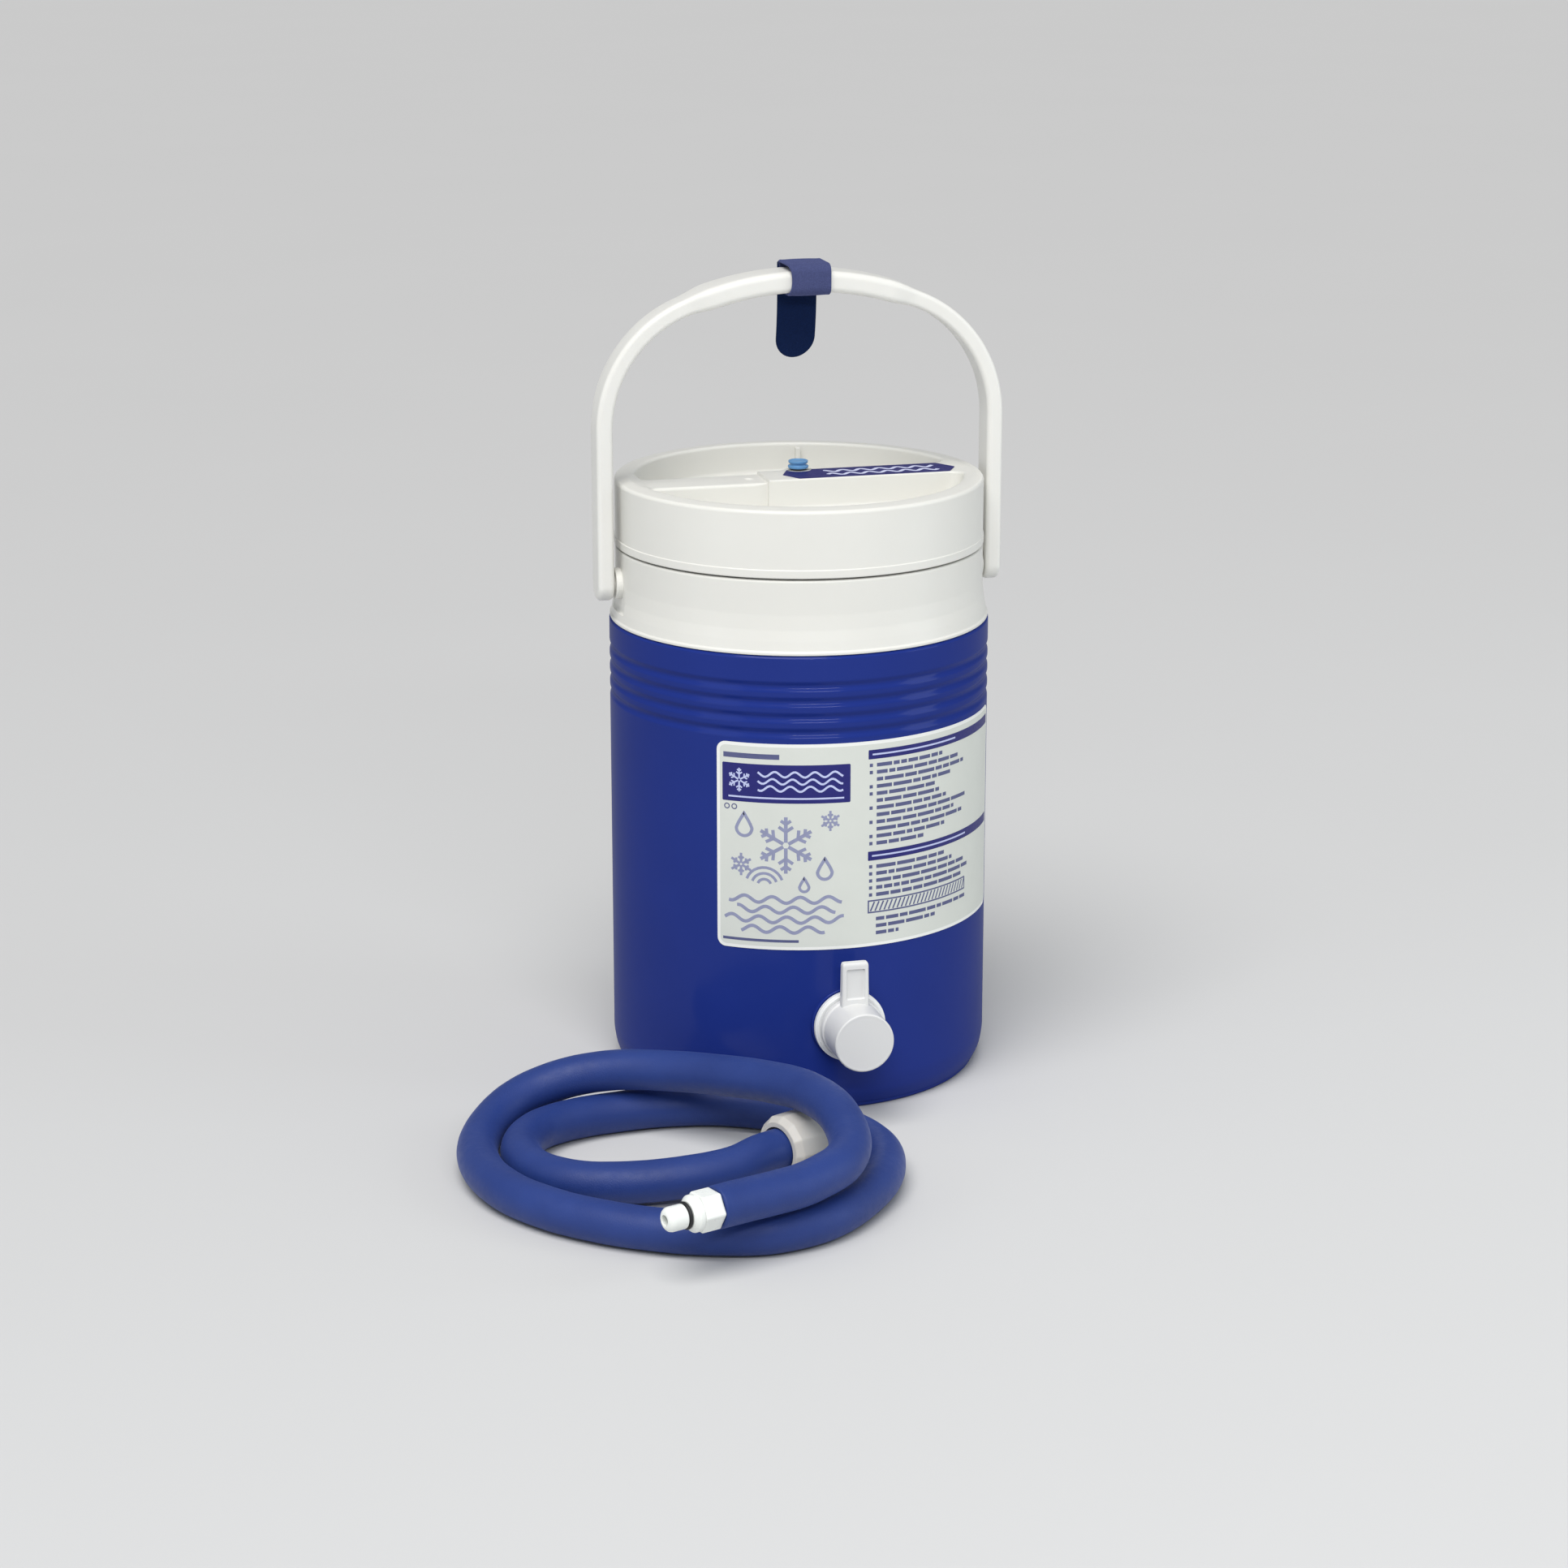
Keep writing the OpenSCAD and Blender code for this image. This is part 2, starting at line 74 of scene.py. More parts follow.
class Finish:
    """A procedural material: mottled colour, uneven roughness and a fine bump."""

    def __init__(self, name, colour, rough, spec=0.35):
        self.mat = bpy.data.materials.new(name)
        self.mat.use_nodes = True
        self.mat.diffuse_color = colour
        self.tree = self.mat.node_tree
        self.bsdf = next(n for n in self.tree.nodes if n.type == "BSDF_PRINCIPLED")
        self.coords = self.node("ShaderNodeTexCoord")
        self.height = None
        self.set("Base Color", colour)
        self.set("Roughness", rough)
        self.set("Specular IOR Level", spec)
        self.colour, self.rough = colour, rough

    def node(self, kind, **inputs):
        n = self.tree.nodes.new(kind)
        for k, v in inputs.items():
            n.inputs[k.replace("_", " ")].default_value = v
        return n

    def link(self, a, b):
        self.tree.links.new(a, b)

    def set(self, socket, value):
        self.bsdf.inputs[socket].default_value = value
        return self

    def place(self, scale=(1, 1, 1)):
        """Object coordinates, stretched."""
        m = self.node("ShaderNodeMapping")
        m.inputs["Scale"].default_value = scale
        self.link(self.coords.outputs["Object"], m.inputs["Vector"])
        return m.outputs["Vector"]

    def noise(self, scale, detail=3.0, rough=0.5, stretch=(1, 1, 1), distortion=0.0):
        n = self.node("ShaderNodeTexNoise", Scale=scale, Detail=detail, Roughness=rough, Distortion=distortion)
        self.link(self.place(stretch), n.inputs["Vector"])
        return n.outputs["Fac"]

    def remap(self, value, low, high, start=0.3, end=0.7):
        m = self.node("ShaderNodeMapRange")
        m.clamp = True
        for k, v in (("From Min", start), ("From Max", end), ("To Min", low), ("To Max", high)):
            m.inputs[k].default_value = v
        self.link(value, m.inputs["Value"])
        return m.outputs["Result"]

    def blend(self, fac, a, b, mode="MIX"):
        m = self.node("ShaderNodeMix")
        m.data_type = "RGBA"
        m.blend_type = mode
        for sock, v in ((m.inputs[0], fac), (m.inputs[6], a), (m.inputs[7], b)):
            if isinstance(v, bpy.types.NodeSocket):
                self.link(v, sock)
            else:
                sock.default_value = v
        return m.outputs[2]

    def math(self, op, a, b=0.0):
        m = self.node("ShaderNodeMath")
        m.operation = op
        for sock, v in ((m.inputs[0], a), (m.inputs[1], b)):
            if isinstance(v, bpy.types.NodeSocket):
                self.link(v, sock)
            else:
                sock.default_value = v
        return m.outputs[0]

    def mottle(self, scale=30.0, amount=0.05, stretch=(1, 1, 1), other=None):
        """Colour that drifts a little over the surface, with finer flecks on it."""
        big = self.remap(self.noise(scale, 4.0, 0.55, stretch), 0.0, 1.0)
        a = tint(self.colour, 1 - amount)
        b = other or tint(self.colour, 1 + amount)
        col = self.blend(big, a, b)
        fine = self.remap(self.noise(scale * 14, 2.0), 0.0, min(0.5, amount * 3))
        col = self.blend(fine, col, tint(self.colour, 0.95))
        self.link(col, self.bsdf.inputs["Base Color"])
        return self

    def uneven(self, scale=120.0, spread=0.06, stretch=(1, 1, 1)):
        """Roughness that varies by plus and minus spread."""
        r = self.remap(self.noise(scale, 4.0, 0.6, stretch), self.rough - spread, self.rough + spread)
        self.link(r, self.bsdf.inputs["Roughness"])
        return self

    def bump(self, height, distance, strength=1.0):
        """Adds a bump layer on top of the ones before it."""
        b = self.node("ShaderNodeBump", Strength=strength, Distance=distance)
        self.link(height, b.inputs["Height"])
        if self.height is not None:
            self.link(self.height, b.inputs["Normal"])
        self.height = b.outputs["Normal"]
        self.link(self.height, self.bsdf.inputs["Normal"])
        return self


def moulded(name, colour, rough, spec=0.35, grain=1400.0, depth=0.00001, flow=0.00004, amount=0.03):
    """Injection-moulded plastic: a fine eroded grain over a long, faint flow ripple."""
    f = Finish(name, colour, rough, spec)
    f.mottle(26.0, amount)
    f.uneven(160.0, 0.05)
    f.bump(f.noise(55.0, 2.0, 0.4), flow, 0.35)
    f.bump(f.noise(grain, 3.0, 0.6), depth, 0.6)
    return f


blue_shell = moulded("blue_shell", srgb(30, 48, 124), 0.34, spec=0.0, grain=1100.0, amount=0.03)
blue_shell.set("Coat Weight", 0.24).set("Coat Roughness", 0.14)
blue_plug = moulded("blue_plug", srgb(18, 46, 121), 0.42, spec=0.2)
white_collar = moulded("white_collar", srgb(220, 219, 213), 0.36, amount=0.012)
white_lid = moulded("white_lid", srgb(222, 221, 215), 0.34, amount=0.012)
white_handle = moulded("white_handle", srgb(226, 225, 220), 0.36, amount=0.012)
white_fitting = moulded("white_fitting", srgb(226, 227, 226), 0.34, amount=0.012)
white_cap = moulded("white_cap", srgb(215, 215, 214), 0.38, amount=0.012)
white_liner = moulded("white_liner", srgb(226, 226, 220), 0.30, amount=0.015)
vent_plastic = moulded("vent_plastic", srgb(100, 150, 196), 0.30, amount=0.04)
for f in (white_collar, white_lid, white_handle, white_cap, white_fitting):
    f.set("Subsurface Weight", 0.08).set("Subsurface Scale", 0.0018)
    f.set("Subsurface Radius", (1.0, 0.92, 0.78))

nut_plastic = moulded("nut_plastic", srgb(197, 194, 188), 0.42, grain=900.0, amount=0.03)
nut_plastic.set("Subsurface Weight", 0.22).set("Subsurface Scale", 0.003).set("Subsurface Radius", (1.0, 0.82, 0.62))
coupling_plastic = moulded("coupling_plastic", srgb(232, 235, 231), 0.28, amount=0.012)
coupling_plastic.set("Subsurface Weight", 0.10).set("Subsurface Scale", 0.002).set("Subsurface Radius", (1.0, 0.95, 0.85))

rubber_seal = Finish("rubber_seal", srgb(26, 27, 30), 0.52, 0.45)
rubber_seal.mottle(300.0, 0.12).uneven(500.0, 0.08)
rubber_seal.bump(rubber_seal.noise(2600.0, 3.0), 0.00003, 0.5)

rigid_foam = Finish("rigid_foam", srgb(238, 226, 178), 0.85, 0.2)
rigid_foam.mottle(90.0, 0.07)
_cells = rigid_foam.node("ShaderNodeTexVoronoi", Scale=900.0)
rigid_foam.link(rigid_foam.place(), _cells.inputs["Vector"])
rigid_foam.bump(_cells.outputs["Distance"], 0.0004, 0.7)

label_film = Finish("label_film", srgb(210, 213, 206), 0.42, 0.30)
label_film.mottle(60.0, 0.015).uneven(200.0, 0.05)
label_film.bump(label_film.noise(40.0, 2.0), 0.00006, 0.3)
label_film.bump(label_film.noise(3000.0, 2.0), 0.000006, 0.5)


label_rim = Finish("label_rim", srgb(233, 234, 230), 0.40, 0.35)
label_rim.mottle(60.0, 0.01).uneven(200.0, 0.05)
label_rim.bump(label_rim.noise(3000.0, 2.0), 0.000006, 0.5)


def ink(name, colour):
    """Screen-printed ink: slightly uneven cover over the film's tooth."""
    f = Finish(name, colour, 0.46, 0.3)
    f.mottle(420.0, 0.06)
    f.uneven(900.0, 0.07)
    f.bump(f.noise(3000.0, 3.0), 0.000008, 0.6)
    return f


ink_blue = ink("ink_blue", srgb(34, 34, 108))
ink_text = ink("ink_text", srgb(86, 90, 128))
ink_pale = ink("ink_pale", srgb(142, 146, 174))
ink_light = ink("ink_light", srgb(188, 195, 230))
ink_strip = ink("ink_strip", srgb(206, 210, 238))
lid_film = ink("lid_film", srgb(30, 28, 100))

# closed-cell foam sleeve: matte skin, soft rim, tiny cells and faint long wrinkles
sleeve_foam = Finish("sleeve_foam", srgb(34, 55, 118), 0.50, 0.30)
sleeve_foam.mottle(34.0, 0.05, other=srgb(38, 60, 125))
sleeve_foam.uneven(260.0, 0.07)
sleeve_foam.set("Sheen Weight", 0.14).set("Sheen Roughness", 0.4).set("Sheen Tint", srgb(140, 160, 235))
_cells = sleeve_foam.node("ShaderNodeTexVoronoi", Scale=1700.0)
sleeve_foam.link(sleeve_foam.place(), _cells.inputs["Vector"])
sleeve_foam.bump(sleeve_foam.noise(70.0, 3.0, 0.5), 0.00025, 0.35)
sleeve_foam.bump(_cells.outputs["Distance"], 0.00012, 0.5)
sleeve_foam.bump(sleeve_foam.noise(3200.0, 3.0, 0.6), 0.00005, 0.6)

clear_tube = Finish("clear_tube", srgb(206, 220, 228), 0.22, 0.5)
clear_tube.mottle(120.0, 0.03).uneven(200.0, 0.05)
clear_tube.set("Transmission Weight", 0.55).set("IOR", 1.48)
clear_tube.bump(clear_tube.noise(400.0, 2.0), 0.00003, 0.4)


def tape(name, colour, sheen):
    """Hook-and-loop tape: woven ground under a short brushed pile."""
    f = Finish(name, colour, 0.88, 0.15)
    loops = f.node("ShaderNodeTexVoronoi", Scale=2100.0)
    f.link(f.place(), loops.inputs["Vector"])
    rows = f.node("ShaderNodeTexWave", Scale=175.0, Distortion=1.2, Detail=2.0)
    rows.inputs["Detail Scale"].default_value = 6.0
    rows.bands_direction = "X"
    f.link(f.place(), rows.inputs["Vector"])
    shade = f.remap(loops.outputs["Distance"], 0.0, 1.0, 0.0, 0.7)
    col = f.blend(shade, tint(f.colour, 0.78), tint(f.colour, 1.18))
    patch = f.remap(f.noise(90.0, 3.0), 0.0, 0.28)
    col = f.blend(patch, col, tint(f.colour, 1.3))
    f.link(col, f.bsdf.inputs["Base Color"])
    f.set("Sheen Weight", sheen).set("Sheen Roughness", 0.4).set("Sheen Tint", tint(f.colour, 2.6))
    f.bump(rows.outputs["Fac"], 0.00005, 0.3)
    f.bump(loops.outputs["Distance"], 0.00022, 0.7)
    f.bump(f.noise(4200.0, 3.0, 0.65), 0.00010, 0.8)
    return f


strap_band = tape("strap_band", srgb(64, 70, 108), 0.46)
strap_hook = tape("strap_hook", srgb(22, 30, 70), 0.15)
strap_tail = tape("strap_tail", srgb(8, 27, 64), 0.08)


# ------------------------------------------------------------------ shape helpers
def rounded(points, closed=False, step=12.0):
    """Corners given as (x, y, radius) become arcs, with a point about every step degrees."""
    out, n = [], len(points)
    for i, p in enumerate(points):
        rad = p[2] if len(p) > 2 else 0.0
        if rad <= 0 or (not closed and i in (0, n - 1)):
            out.append((p[0], p[1]))
            continue
        c, a, b = Vector(p[:2]), Vector(points[i - 1][:2]), Vector(points[(i + 1) % n][:2])
        u, w = (a - c), (b - c)
        la, lb = u.length, w.length
        u.normalize(), w.normalize()
        inside = math.acos(max(-1.0, min(1.0, u.dot(w))))
        if inside > pi - 1e-3 or inside < 1e-3:
            out.append((p[0], p[1]))
            continue
        t = min(rad / math.tan(inside / 2), 0.48 * la, 0.48 * lb)
        rad = t * math.tan(inside / 2)
        centre = c + (u + w).normalized() * (rad / sin(inside / 2))
        s, e = c + u * t - centre, c + w * t - centre
        turn = math.atan2(s.x * e.y - s.y * e.x, s.dot(e))
        k = max(2, math.ceil(degrees(abs(turn)) / step))
        for j in range(k + 1):
            q = turn * j / k
            out.append((centre.x + s.x * cos(q) - s.y * sin(q), centre.y + s.x * sin(q) + s.y * cos(q)))
    return out


def lathe(profile, segs=96, closed=False, shape=None):
    """Surface of revolution about Z. shape(angle, r, z) may change the radius."""
    verts, rows = [], []
    for r, z in profile:
        if r < 1e-6:
            rows.append([len(verts)] * segs)
            verts.append((0.0, 0.0, z))
            continue
        row = []
        for k in range(segs):
            a = 2 * pi * k / segs
            q = r if shape is None else shape(a, r, z)
            row.append(len(verts))
            verts.append((q * cos(a), q * sin(a), z))
        rows.append(row)
    return verts, bridge(rows, closed, True)


def bridge(rows, closed_rows=False, closed_ring=True):
    faces, n = [], len(rows)
    for i in range(n if closed_rows else n - 1):
        a, b = rows[i], rows[(i + 1) % n]
        m = len(a)
        for k in range(m if closed_ring else m - 1):
            q = []
            for x in (a[k], a[(k + 1) % m], b[(k + 1) % m], b[k]):
                if x not in q:
                    q.append(x)
            if len(q) > 2:
                faces.append(q)
    return faces


def rings(sections, cap=True, closed=False):
    """Skin over a list of closed sections, each a list of 3-D points of one count."""
    verts, rows = [], []
    for s in sections:
        rows.append(list(range(len(verts), len(verts) + len(s))))
        verts.extend(tuple(p) for p in s)
    faces = bridge(rows, closed, True)
    if cap and not closed:
        faces += [rows[0][::-1], rows[-1]]
    return verts, faces


def moved(part, f):
    return [tuple(f(Vector(v))) for v in part[0]], part[1]


def box(x0, x1, y0, y1, z0, z1):
    v = [(x, y, z) for z in (z0, z1) for x, y in ((x0, y0), (x1, y0), (x1, y1), (x0, y1))]
    return v, [[3, 2, 1, 0], [4, 5, 6, 7], [0, 1, 5, 4], [1, 2, 6, 5], [2, 3, 7, 6], [3, 0, 4, 7]]


def soft_box(x0, x1, y0, y1, z0, z1, r, segs=3):
    """A box with every edge rounded by r."""
    bm = bmesh.new()
    v, f = box(x0, x1, y0, y1, z0, z1)
    vs = [bm.verts.new(p) for p in v]
    for q in f:
        bm.faces.new([vs[i] for i in q])
    bmesh.ops.bevel(bm, geom=list(bm.edges), offset=r, offset_type="OFFSET", segments=segs, profile=0.5, affect="EDGES")
    bm.verts.index_update()
    out = [tuple(p.co) for p in bm.verts], [[p.index for p in q.verts] for q in bm.faces]
    bm.free()
    return out


def raw(name, parts):
    """An object from parts, welded, with its faces turned outwards."""
    bm = bmesh.new()
    for verts, faces in parts:
        vs = [bm.verts.new([c * MM for c in p]) for p in verts]
        for q in faces:
            try:
                bm.faces.new([vs[i] for i in q])
            except ValueError:
                pass
    bmesh.ops.remove_doubles(bm, verts=bm.verts, dist=1.5e-6)
    bmesh.ops.dissolve_degenerate(bm, dist=1e-7, edges=bm.edges)
    loose = [v for v in bm.verts if not v.link_faces]
    bmesh.ops.delete(bm, geom=loose, context="VERTS")
    bmesh.ops.recalc_face_normals(bm, faces=bm.faces)
    me = bpy.data.meshes.new(name)
    bm.to_mesh(me)
    bm.free()
    ob = bpy.data.objects.new(name, me)
    scene.collection.objects.link(ob)
    return ob


def carve(ob, cutters, operation="DIFFERENCE"):
    """Exact boolean of ob with each of the parts in cutters."""
    for part in cutters:
        tool = raw("tool", [part])
        m = ob.modifiers.new("carve", "BOOLEAN")
        m.object, m.operation, m.solver = tool, operation, "EXACT"
        bpy.context.view_layer.update()
        me = bpy.data.meshes.new_from_object(ob.evaluated_get(bpy.context.evaluated_depsgraph_get()))
        ob.modifiers.clear()
        old, ob.data = ob.data, me
        bpy.data.meshes.remove(old)
        old = tool.data
        bpy.data.objects.remove(tool)
        bpy.data.meshes.remove(old)
    return ob


def dress(ob, body, finish, replaces=(), sharp=32.0):
    """Smooth shading with crisp edges kept, the finish, and the body that it rides on."""
    me = ob.data
    me.materials.clear()
    me.materials.append(finish.mat)
    for p in me.polygons:
        p.use_smooth = True
        p.material_index = 0
    me.set_sharp_from_angle(angle=radians(sharp))
    m = ob.modifiers.new("normals", "WEIGHTED_NORMAL")
    m.keep_sharp = True
    m.weight = 50
    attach(ob, body)
    if replaces:
        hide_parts(*replaces)
    return ob


def piece(name, parts, body, finish, replaces=(), sharp=32.0, cut=(), add=()):
    ob = raw(name, parts)
    if add:
        carve(ob, add, "UNION")
    if cut:
        carve(ob, cut)
    return dress(ob, body, finish, replaces, sharp)


def smooth(t):
    t = max(0.0, min(1.0, t))
    return t * t * (3 - 2 * t)


# ------------------------------------------------------------------ hose (the cord comes first)
ROUTE = [
    (-105.9, -262, 30.8), (-93.2, -257.41, 30.8), (-77.4, -251.6, 30.5),
    (-64.4, -245.8, 30.4), (-52.4, -238.3, 30.9), (-42.4, -229.6, 31.6),
    (-35.5, -218.7, 33.1), (-32.4, -205.7, 35.6), (-32.9, -191.5, 39.2),
    (-35.6, -176.5, 40.5), (-41.5, -160.2, 40.5), (-52.5, -142.2, 39),
    (-66.1, -124, 36.4), (-80.7, -107.4, 33.6), (-96.1, -93.5, 31.2),
    (-112.5, -83.4, 29), (-129.5, -78.5, 25.7), (-145.7, -78.8, 21.7),
    (-158.5, -84, 17.8), (-168.8, -93.1, 14.1), (-176.8, -106.2, 11.3),
    (-181.8, -122.7, 10), (-182.8, -141.5, 9.7), (-180.2, -160.5, 9.8),
    (-173.4, -178.7, 9.8), (-162.8, -195.4, 9.8), (-149.7, -210.1, 9.8),
    (-134.6, -222.7, 9.9), (-117.3, -233.2, 9.9), (-98.1, -241.1, 9.9),
    (-78.7, -244.7, 9.8), (-61.5, -241.3, 9.7), (-45.6, -233, 9.7),
    (-31, -219.2, 9.9), (-18, -202.6, 10.1), (-9.2, -183.7, 9.7),
    (-6, -162.5, 9.7), (-11.9, -140.1, 9.8), (-24.4, -119.4, 9.9),
    (-41.5, -102.9, 9.9), (-61.5, -92.1, 9.9), (-83.5, -87, 9.9),
    (-106.3, -86.6, 9.7), (-128, -90.2, 9.7), (-145.8, -98.3, 9.9),
    (-157.2, -111.1, 10), (-162.6, -126.1, 9.9), (-162.3, -141.7, 9.7),
    (-156.3, -156.5, 9.8), (-144.7, -168.7, 10.2), (-127.8, -176.1, 10.8),
    (-108.6, -179.4, 11.7), (-90.3, -179.3, 12.5), (-74.8, -176.2, 13.5),
    (-63.12, -170.59, 15.2), (-50.14, -164.13, 15.2)]
SLEEVE_R, SLEEVE_BORE, TUBE_R, TUBE_BORE = 9.4, 6.75, 6.15, 4.75


def spline(points, k):
    """Catmull-Rom curve through the points, k steps to a span."""
    P = [Vector(p) for p in points]
    n, out = len(P), []
    for i in range(n - 1):
        a, b, c, d = P[max(0, i - 1)], P[i], P[i + 1], P[min(n - 1, i + 2)]
        for j in range(k):
            t = j / k
            out.append(0.5 * (2 * b + (c - a) * t + (2 * a - 5 * b + 4 * c - d) * t * t + (3 * b - a - 3 * c + d) * t ** 3))
    out.append(P[-1])
    return out


class Line:
    """A polyline with points and frames by arc length."""

    def __init__(self, points):
        self.p = points
        self.s = [0.0]
        for a, b in zip(points, points[1:]):
            self.s.append(self.s[-1] + (b - a).length)
        self.length = self.s[-1]

    def at(self, s):
        s = max(0.0, min(self.length, s))
        lo, hi = 0, len(self.s) - 1
        while hi - lo > 1:
            mid = (lo + hi) // 2
            lo, hi = (mid, hi) if self.s[mid] <= s else (lo, mid)
        t = (s - self.s[lo]) / max(1e-9, self.s[hi] - self.s[lo])
        return self.p[lo].lerp(self.p[hi], t)

    def frame(self, s):
        t = (self.at(s + 0.8) - self.at(s - 0.8)).normalized()
        side = Vector((0, 0, 1)).cross(t).normalized()
        return self.at(s), t, side, t.cross(side)


hose_line = Line(spline(ROUTE, 14))


def hollow_run(line, outer, inner, lip, pitch, sides, wrinkle=0.0):
    """A thick-walled tube along a line, with rounded end lips. Returns the part and its ring centres."""
    L = line.length
    ends = [0.0, lip * 0.14, lip * 0.5, lip, lip + 0.8]
    n = int((L - 2 * ends[-1]) / pitch)
    mids = [ends[-1] + (L - 2 * ends[-1]) * i / n for i in range(1, n)]
    stations = ends + mids + [L - e for e in reversed(ends)]

    def edge(s, r, sign):
        d = min(s, L - s)
        if d >= lip:
            return r
        return r - sign * (lip - sqrt(max(0.0, lip * lip - (lip - d) ** 2)))

    sections = []
    for s in stations:
        p, t, a, b = line.frame(s)
        row = []
        for k in range(sides):
            q = 2 * pi * k / sides
            r = edge(s, outer, 1)
            if wrinkle and lip < s < L - lip:
                fade = smooth((min(s, L - s) - lip) / 12)
                r += wrinkle * fade * (0.5 * sin(s * 0.21 + 1.3 * sin(q)) + 0.3 * sin(s * 0.083 + q) + 0.2 * sin(s * 0.51 + 2 * q))
            row.append(p + a * (r * cos(q)) + b * (r * sin(q)))
        sections.append(row)
    back = []
    for s in reversed(stations):
        p, t, a, b = line.frame(s)
        r = edge(s, inner, -1)
        back.append([p + a * (r * cos(2 * pi * k / sides)) + b * (r * sin(2 * pi * k / sides)) for k in range(sides)])
    return rings(sections + back, closed=True), [line.at(s) for s in stations]


part, centres = hollow_run(hose_line, SLEEVE_R, SLEEVE_BORE, 0.9, 3.2, 48, wrinkle=0.10)
sleeve = piece("hose_sleeve_foam", [part], "hose", sleeve_foam, ["hose_sleeve"], sharp=60)
part, _ = hollow_run(hose_line, TUBE_R, TUBE_BORE, 0.3, 5.0, 28)
inner_tube = piece("hose_inner_tube", [part], "hose", clear_tube, ["hose_tube"], sharp=60)

NUT_DIR = Vector((0.895, 0.446, 0)).normalized()
NUT_AT = Vector((-53.9, -166.0, 15.2))
PLUG_DIR = Vector((-0.94, -0.34, 0)).normalized()
PLUG_AT = Vector(ROUTE[0])


def along(origin, direction):
    """Puts a part whose axis is +Z along a level direction: its x points down."""
    side = Vector((-direction.y, direction.x, 0))
    return lambda v: origin + direction * v.z + side * v.y + Vector((0, 0, -v.x))


at_nut, at_plug = along(NUT_AT, NUT_DIR), along(PLUG_AT, PLUG_DIR)


# --- twelve-sided union nut
def nut_radius(a, r, z):
    """Twelve flats with softened corners, one of them straight down, and a shallow thread inside."""
    if r > 12.5:
        flat = cos(radians(15)) / cos(radians((degrees(a) % 30.0) - 15.0))
        return r * (flat if flat < 0.990 else 0.990 + (flat - 0.990) * 0.45)
    if 12.2 < r < 12.5 and 7.6 < z < 17.9:
        turn = (z / 2.4 - a / (2 * pi)) % 1.0
        return r - 0.3 * smooth(1 - abs(turn - 0.5) * 4) * smooth((z - 7.6) / 0.8) * smooth((17.9 - z) / 0.8)
    return r


nut_out = rounded([(10.4, 0, 0), (12.8, 0, 1.0), (15.1, 3.2, 1.4), (15.1, 18.5, 0.7), (12.95, 18.5, 0.3), (12.4, 18.0, 0)], step=11)
nut_in = [(12.4, 17.9 - 0.25 * i) for i in range(42)] + [(12.4, 7.3), (12.1, 7.0), (8.4, 7.0), (8.1, 6.8), (8.1, 5.4), (8.3, 5.2), (10.1, 5.2), (10.4, 5.0)]
nut = piece("hose_union_nut", [moved(lathe(nut_out + nut_in, 240, True, nut_radius), at_nut)], "hose_nut", nut_plastic, ["hose_nut"], sharp=50)

# --- barbed tail and washer inside the nut
barbs = [(3.2, -9.0), (4.0, -9.0)]
for i in range(4):
    z = -8.6 + 3.2 * i
    barbs += [(4.15, z), (4.5, z + 1.9), (4.5, z + 2.3), (4.2, z + 2.6)]
barbs += [(4.5, 4.2), (7.7, 4.4), (8.0, 4.7), (8.0, 7.0), (8.3, 7.2), (11.5, 7.2), (11.8, 7.5), (11.8, 8.9), (11.5, 9.2), (7.0, 9.2), (3.5, 9.2), (3.2, 8.9)]
tail = piece("hose_tailpiece", [moved(lathe(barbs, 72, True), at_nut)], "hose", white_fitting, ["nut_tailpiece"], sharp=38)
flat_ring = rounded([(6, 9.2, 0.25), (12, 9.2, 0.25), (12, 11.2, 0.35), (6, 11.2, 0.35)], True, 30)
washer = piece("hose_flat_washer", [moved(lathe(flat_ring, 72, True), at_nut)], "hose", rubber_seal, ["nut_washer"])


# --- plug-in coupling
def hex_radius(a, r, z):
    if r <= 7.2 or z > 9.81:
        return r
    x = radians(((degrees(a) + 30.0) % 60.0) - 30.0)
    flat = 9.2 * cos(radians(30)) / cos(x)
    flat = min(flat, 9.06 - 0.08 * smooth((flat - 8.85) / 0.35))
    return flat * r / 9.2


coupling = rounded([(2.4, 0.0, 0), (2.4, -11.0, 0.3), (4.1, -11.0, 0.3)], step=30) + [(4.5, -9.2), (4.5, -8.8), (4.2, -8.6), (4.5, -6.4), (4.5, -6.0), (4.2, -5.8), (4.5, -3.6), (4.5, -3.2), (4.2, -3.0), (4.5, -0.6), (4.5, 0.2)]
coupling += [(6.9, 0.2), (8.5, 0.2), (8.86, 0.32), (9.1, 0.62), (9.2, 1.1), (9.2, 2.4), (9.2, 5.0), (9.2, 7.6), (9.2, 8.9), (9.1, 9.38), (8.86, 9.68), (8.5, 9.8), (7.15, 9.8)]
coupling += rounded([(7.15, 9.92), (8.1, 9.92, 0.25), (8.1, 12.1, 0.8), (6.3, 13.8, 0.7), (6.2, 14.4, 0.25), (4.4, 14.4, 0.15), (4.4, 16.4, 0.15), (5.4, 16.4, 0.3), (5.4, 21.0)], step=10)
coupling += [(2.5 + 2.9 * cos(radians(9 * i)), 22.4 + 2.9 * sin(radians(9 * i))) for i in range(11)]
coupling += [(2.4, 25.2), (2.4, 18.0), (2.4, 6.0)]
fitting = piece("hose_coupling", [moved(lathe(coupling, 192, True, hex_radius), at_plug)], "hose", coupling_plastic, ["coupling_body"], sharp=30)


def torus(major, minor, z, sides=24):
    return [(major + minor * cos(2 * pi * k / sides), z + minor * sin(2 * pi * k / sides)) for k in range(sides)]


oring = piece("hose_coupling_oring", [moved(lathe(torus(5.25, 0.8, 15.35), 96, True), at_plug)], "hose", rubber_seal, ["coupling_oring"], sharp=180)

# ------------------------------------------------------------------ blue shell
GROOVES = [206.3 - 7.3 * i for i in range(4)]


